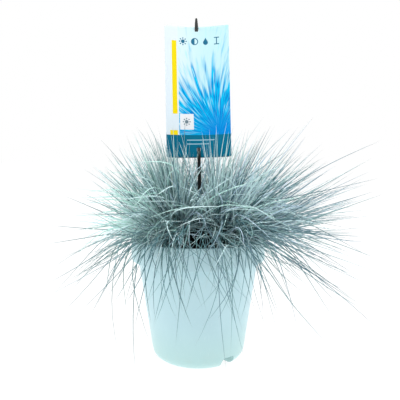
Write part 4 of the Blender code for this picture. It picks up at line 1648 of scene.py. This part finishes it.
# %% Print the face, and leave the back white
def card_face_finish():
    """The printed face, layer over layer, with the slight unevenness that handling leaves."""
    finish, tree, shader = new_finish("printed_card", IOR=1.5, Specular_IOR_Level=0.06)
    flat = add_node(tree, "UVMap", uv_map="UVMap").outputs[0]
    parts = add_node(tree, "SeparateXYZ", {0: flat})
    x = product(tree, parts.outputs["X"], MM_ACROSS)
    y = product(tree, parts.outputs["Y"], MM_UP)
    face = leaf_fan(tree, x, y, mix_colours(tree, smooth_share(tree, x, 60.0, 5.0), *SKY))
    symbols = [symbol(tree, x, y, (across, SYMBOL_ROW)) for symbol, across in SYMBOLS]
    layers = (
        (calc(tree, "LESS_THAN", x, STRIP_EDGE), STRIP),
        (inside_boxes(tree, x, y, RULE_BOXES), RULE),
        (inside_box(tree, x, y, *SQUARE_BOX), SQUARE),
        (sun_symbol(tree, x, y, SQUARE_SUN), SQUARE_SUN_INK),
        (calc(tree, "LESS_THAN", y, BAND_TOP), mix_colours(tree, smooth_share(tree, x, 0.0, 80.0), *BAND)),
        (inside_boxes(tree, x, y, BAR_BOXES), BAR),
        (either(tree, *symbols), SYMBOL_INK),
    )
    for mask, ink in layers:
        face = mix_colours(tree, mask, face, ink)
    face = mix_colours(tree, 1.0, face, VARNISH, "MULTIPLY")
    knobs = {"Scuffs": 0.02, "Roughness": 0.40, **CARD_HANDLING}
    dress(tree, shader, *handled(tree, object_place(tree), face, knobs), strength=0.1, distance=0.0001)
    return finish


def card_back_finish():
    """Plain white plastic with the faintest cloud, used for the back and the cut edge."""
    finish, tree, shader = new_finish("card_white", IOR=1.5)
    place = object_place(tree)
    white, _ = mottled(tree, place, CARD_WHITE, scale=60.0, amount=0.8)
    knobs = {"Scuffs": 0.06, "Roughness": 0.38, **CARD_HANDLING}
    dress(tree, shader, *handled(tree, place, white, knobs), strength=0.1, distance=0.0001)
    return finish


# %% Make the card
def make_card():
    """The printed sheet, given its thickness, with white for its back and its cut edge."""
    points, quads, flat = card_sheet()
    card = make_piece("plant_label", points, [quads], card_face_finish(), "printed_card", flat=flat)
    card.data.materials.append(card_back_finish())
    thick = card.modifiers.new("thickness", "SOLIDIFY")
    thick.thickness = CARD_THICKNESS
    thick.offset = 0.0
    thick.material_offset = 1
    thick.material_offset_rim = 1
    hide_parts("label_card")
    return card


card = make_card()
print("card:", len(card.data.polygons), "faces")

# %% [markdown]
# ## The stake
# The stake is a flat black strip, moulded with soft edges. It runs in front of the card above and below,
# and weaves behind it between the slots. Its section is a rounded rectangle carried along that line: the
# middle moves forward or back in one smooth step as it passes through each slot, and the width closes to
# a point at the foot and to a half circle at the head. Above the card's foot the black plastic is painted
# grey, a painted light and reflection. Below it, among the leaves, it is painted almost black, a painted
# shade.

# %% The stake's sizes and colours
STAKE_WIDTH = 0.0043
STAKE_THICKNESS = 0.0012
STAKE_ABOVE_CARD = 0.0110
STAKE_BELOW_CARD = 0.205
STAKE_POINT = 0.012
STAKE_POINT_WIDTH = 0.0012
STAKE_STATIONS = 120
STAKE_SECTION = 20
HEAD_NARROWING = 0.35  # share of the width lost towards the head
STAKE_SQUARENESS = 0.35  # power of the sine and cosine: 1 is an ellipse, 0 a rectangle
BUNCHING = 0.06  # how much the stations crowd towards the two ends
HEAD_ANGLES = np.radians(np.arange(0, 88, 8))
STAKE_CREASE = math.radians(50)
# painted light and reflection above the card, painted shade below it
STAKE_PAINTED_LIGHT = colour(46, 48, 48), colour(58, 60, 60)
STAKE_PAINTED_SHADE = colour(5, 6, 6)
PAINTED_LIGHT_ABOVE = (0.264, 0.252)  # heights where the painted light above the card is full and where the painted shade below is full
STAKE_HANDLING = {
    "Dust Color": colour(88, 74, 58),
    "Dust": 0.9,
    "Dust Height": 0.17,
    "Scuffs": 0.06,
    "Roughness": 0.42,
}


# %% The stake's shape
def smooth_step(value, low, high):
    """0 up to low, 1 from high, and 3u^2 - 2u^3 between."""
    u = np.clip((value - low) / (high - low), 0.0, 1.0)
    return u * u * (3 - 2 * u)


def stake_points():
    """The rounded section at each height, in the card's own axes, and a pole point at each end."""
    top = CARD_HEIGHT + STAKE_ABOVE_CARD
    half = STAKE_WIDTH / 2
    share = np.linspace(0.0, 1.0, STAKE_STATIONS)
    bunched = share + BUNCHING * np.sin(math.tau * share) / math.tau
    height = -STAKE_BELOW_CARD + (top + STAKE_BELOW_CARD) * bunched
    height = np.sort(np.concatenate((height, top - half * (1 - np.sin(HEAD_ANGLES)))))
    through = [smooth_step(height, h - SLOT_HEIGHT / 2, h + SLOT_HEIGHT / 2) for h in SLOT_HEIGHTS]
    depth = STAKE_OFFSET * (2 * through[0] - 2 * through[1] - 1)
    foot = smooth_step(height, -STAKE_BELOW_CARD, STAKE_POINT - STAKE_BELOW_CARD)
    width = STAKE_POINT_WIDTH / 2 + (half - STAKE_POINT_WIDTH / 2) * foot
    width *= 1.0 - HEAD_NARROWING * smooth_step(height, top - STAKE_ABOVE_CARD, top)
    from_head = np.clip((height - (top - half)) / half, 0.0, 1.0)
    width = width * np.sqrt(1 - from_head**2 + 1e-6)
    angle = math.tau * np.arange(STAKE_SECTION) / STAKE_SECTION
    shape_x, shape_y = (np.sign(c) * np.abs(c) ** STAKE_SQUARENESS for c in (np.cos(angle), np.sin(angle)))
    x = width[:, None] * shape_x
    y = depth[:, None] + STAKE_THICKNESS / 2 * shape_y
    z = np.broadcast_to(height[:, None], x.shape)
    ends = [(0.0, depth[0], height[0]), (0.0, depth[-1], height[-1])]
    points, faces = close_rings(np.stack((x, y, z), -1), *ends)
    return onto_card(points), faces


# %% The stake's finish
def stake_finish():
    """Black plastic with painted light and reflection above the card, painted shade below it, and dried
    compost on its lower end.
    """
    finish, tree, shader = new_finish("black_plastic", IOR=1.49, Specular_IOR_Level=0.2)
    place = object_place(tree)
    painted_lit, _ = mottled(tree, place, STAKE_PAINTED_LIGHT, scale=90.0)
    # painted shade below the card's foot, painted light and reflection above it, mixed by height
    shaded_below = smooth_share(tree, height_of(tree, place), *PAINTED_LIGHT_ABOVE)
    shade = mix_colours(tree, shaded_below, painted_lit, STAKE_PAINTED_SHADE)
    worn = handled(tree, place, shade, STAKE_HANDLING)
    dress(tree, shader, *worn, strength=0.3, distance=0.0002)
    return finish


# %% Weave the stake in
def make_stake():
    """The woven strip, with its long edges kept crisp."""
    points, faces = stake_points()
    finish = stake_finish()
    stake = make_piece("plant_label_stake", points, faces, finish, "stake_plastic", sharp_angle=STAKE_CREASE)
    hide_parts("label_stake")
    return stake


stake = make_stake()
print("stake:", len(stake.data.polygons), "faces")
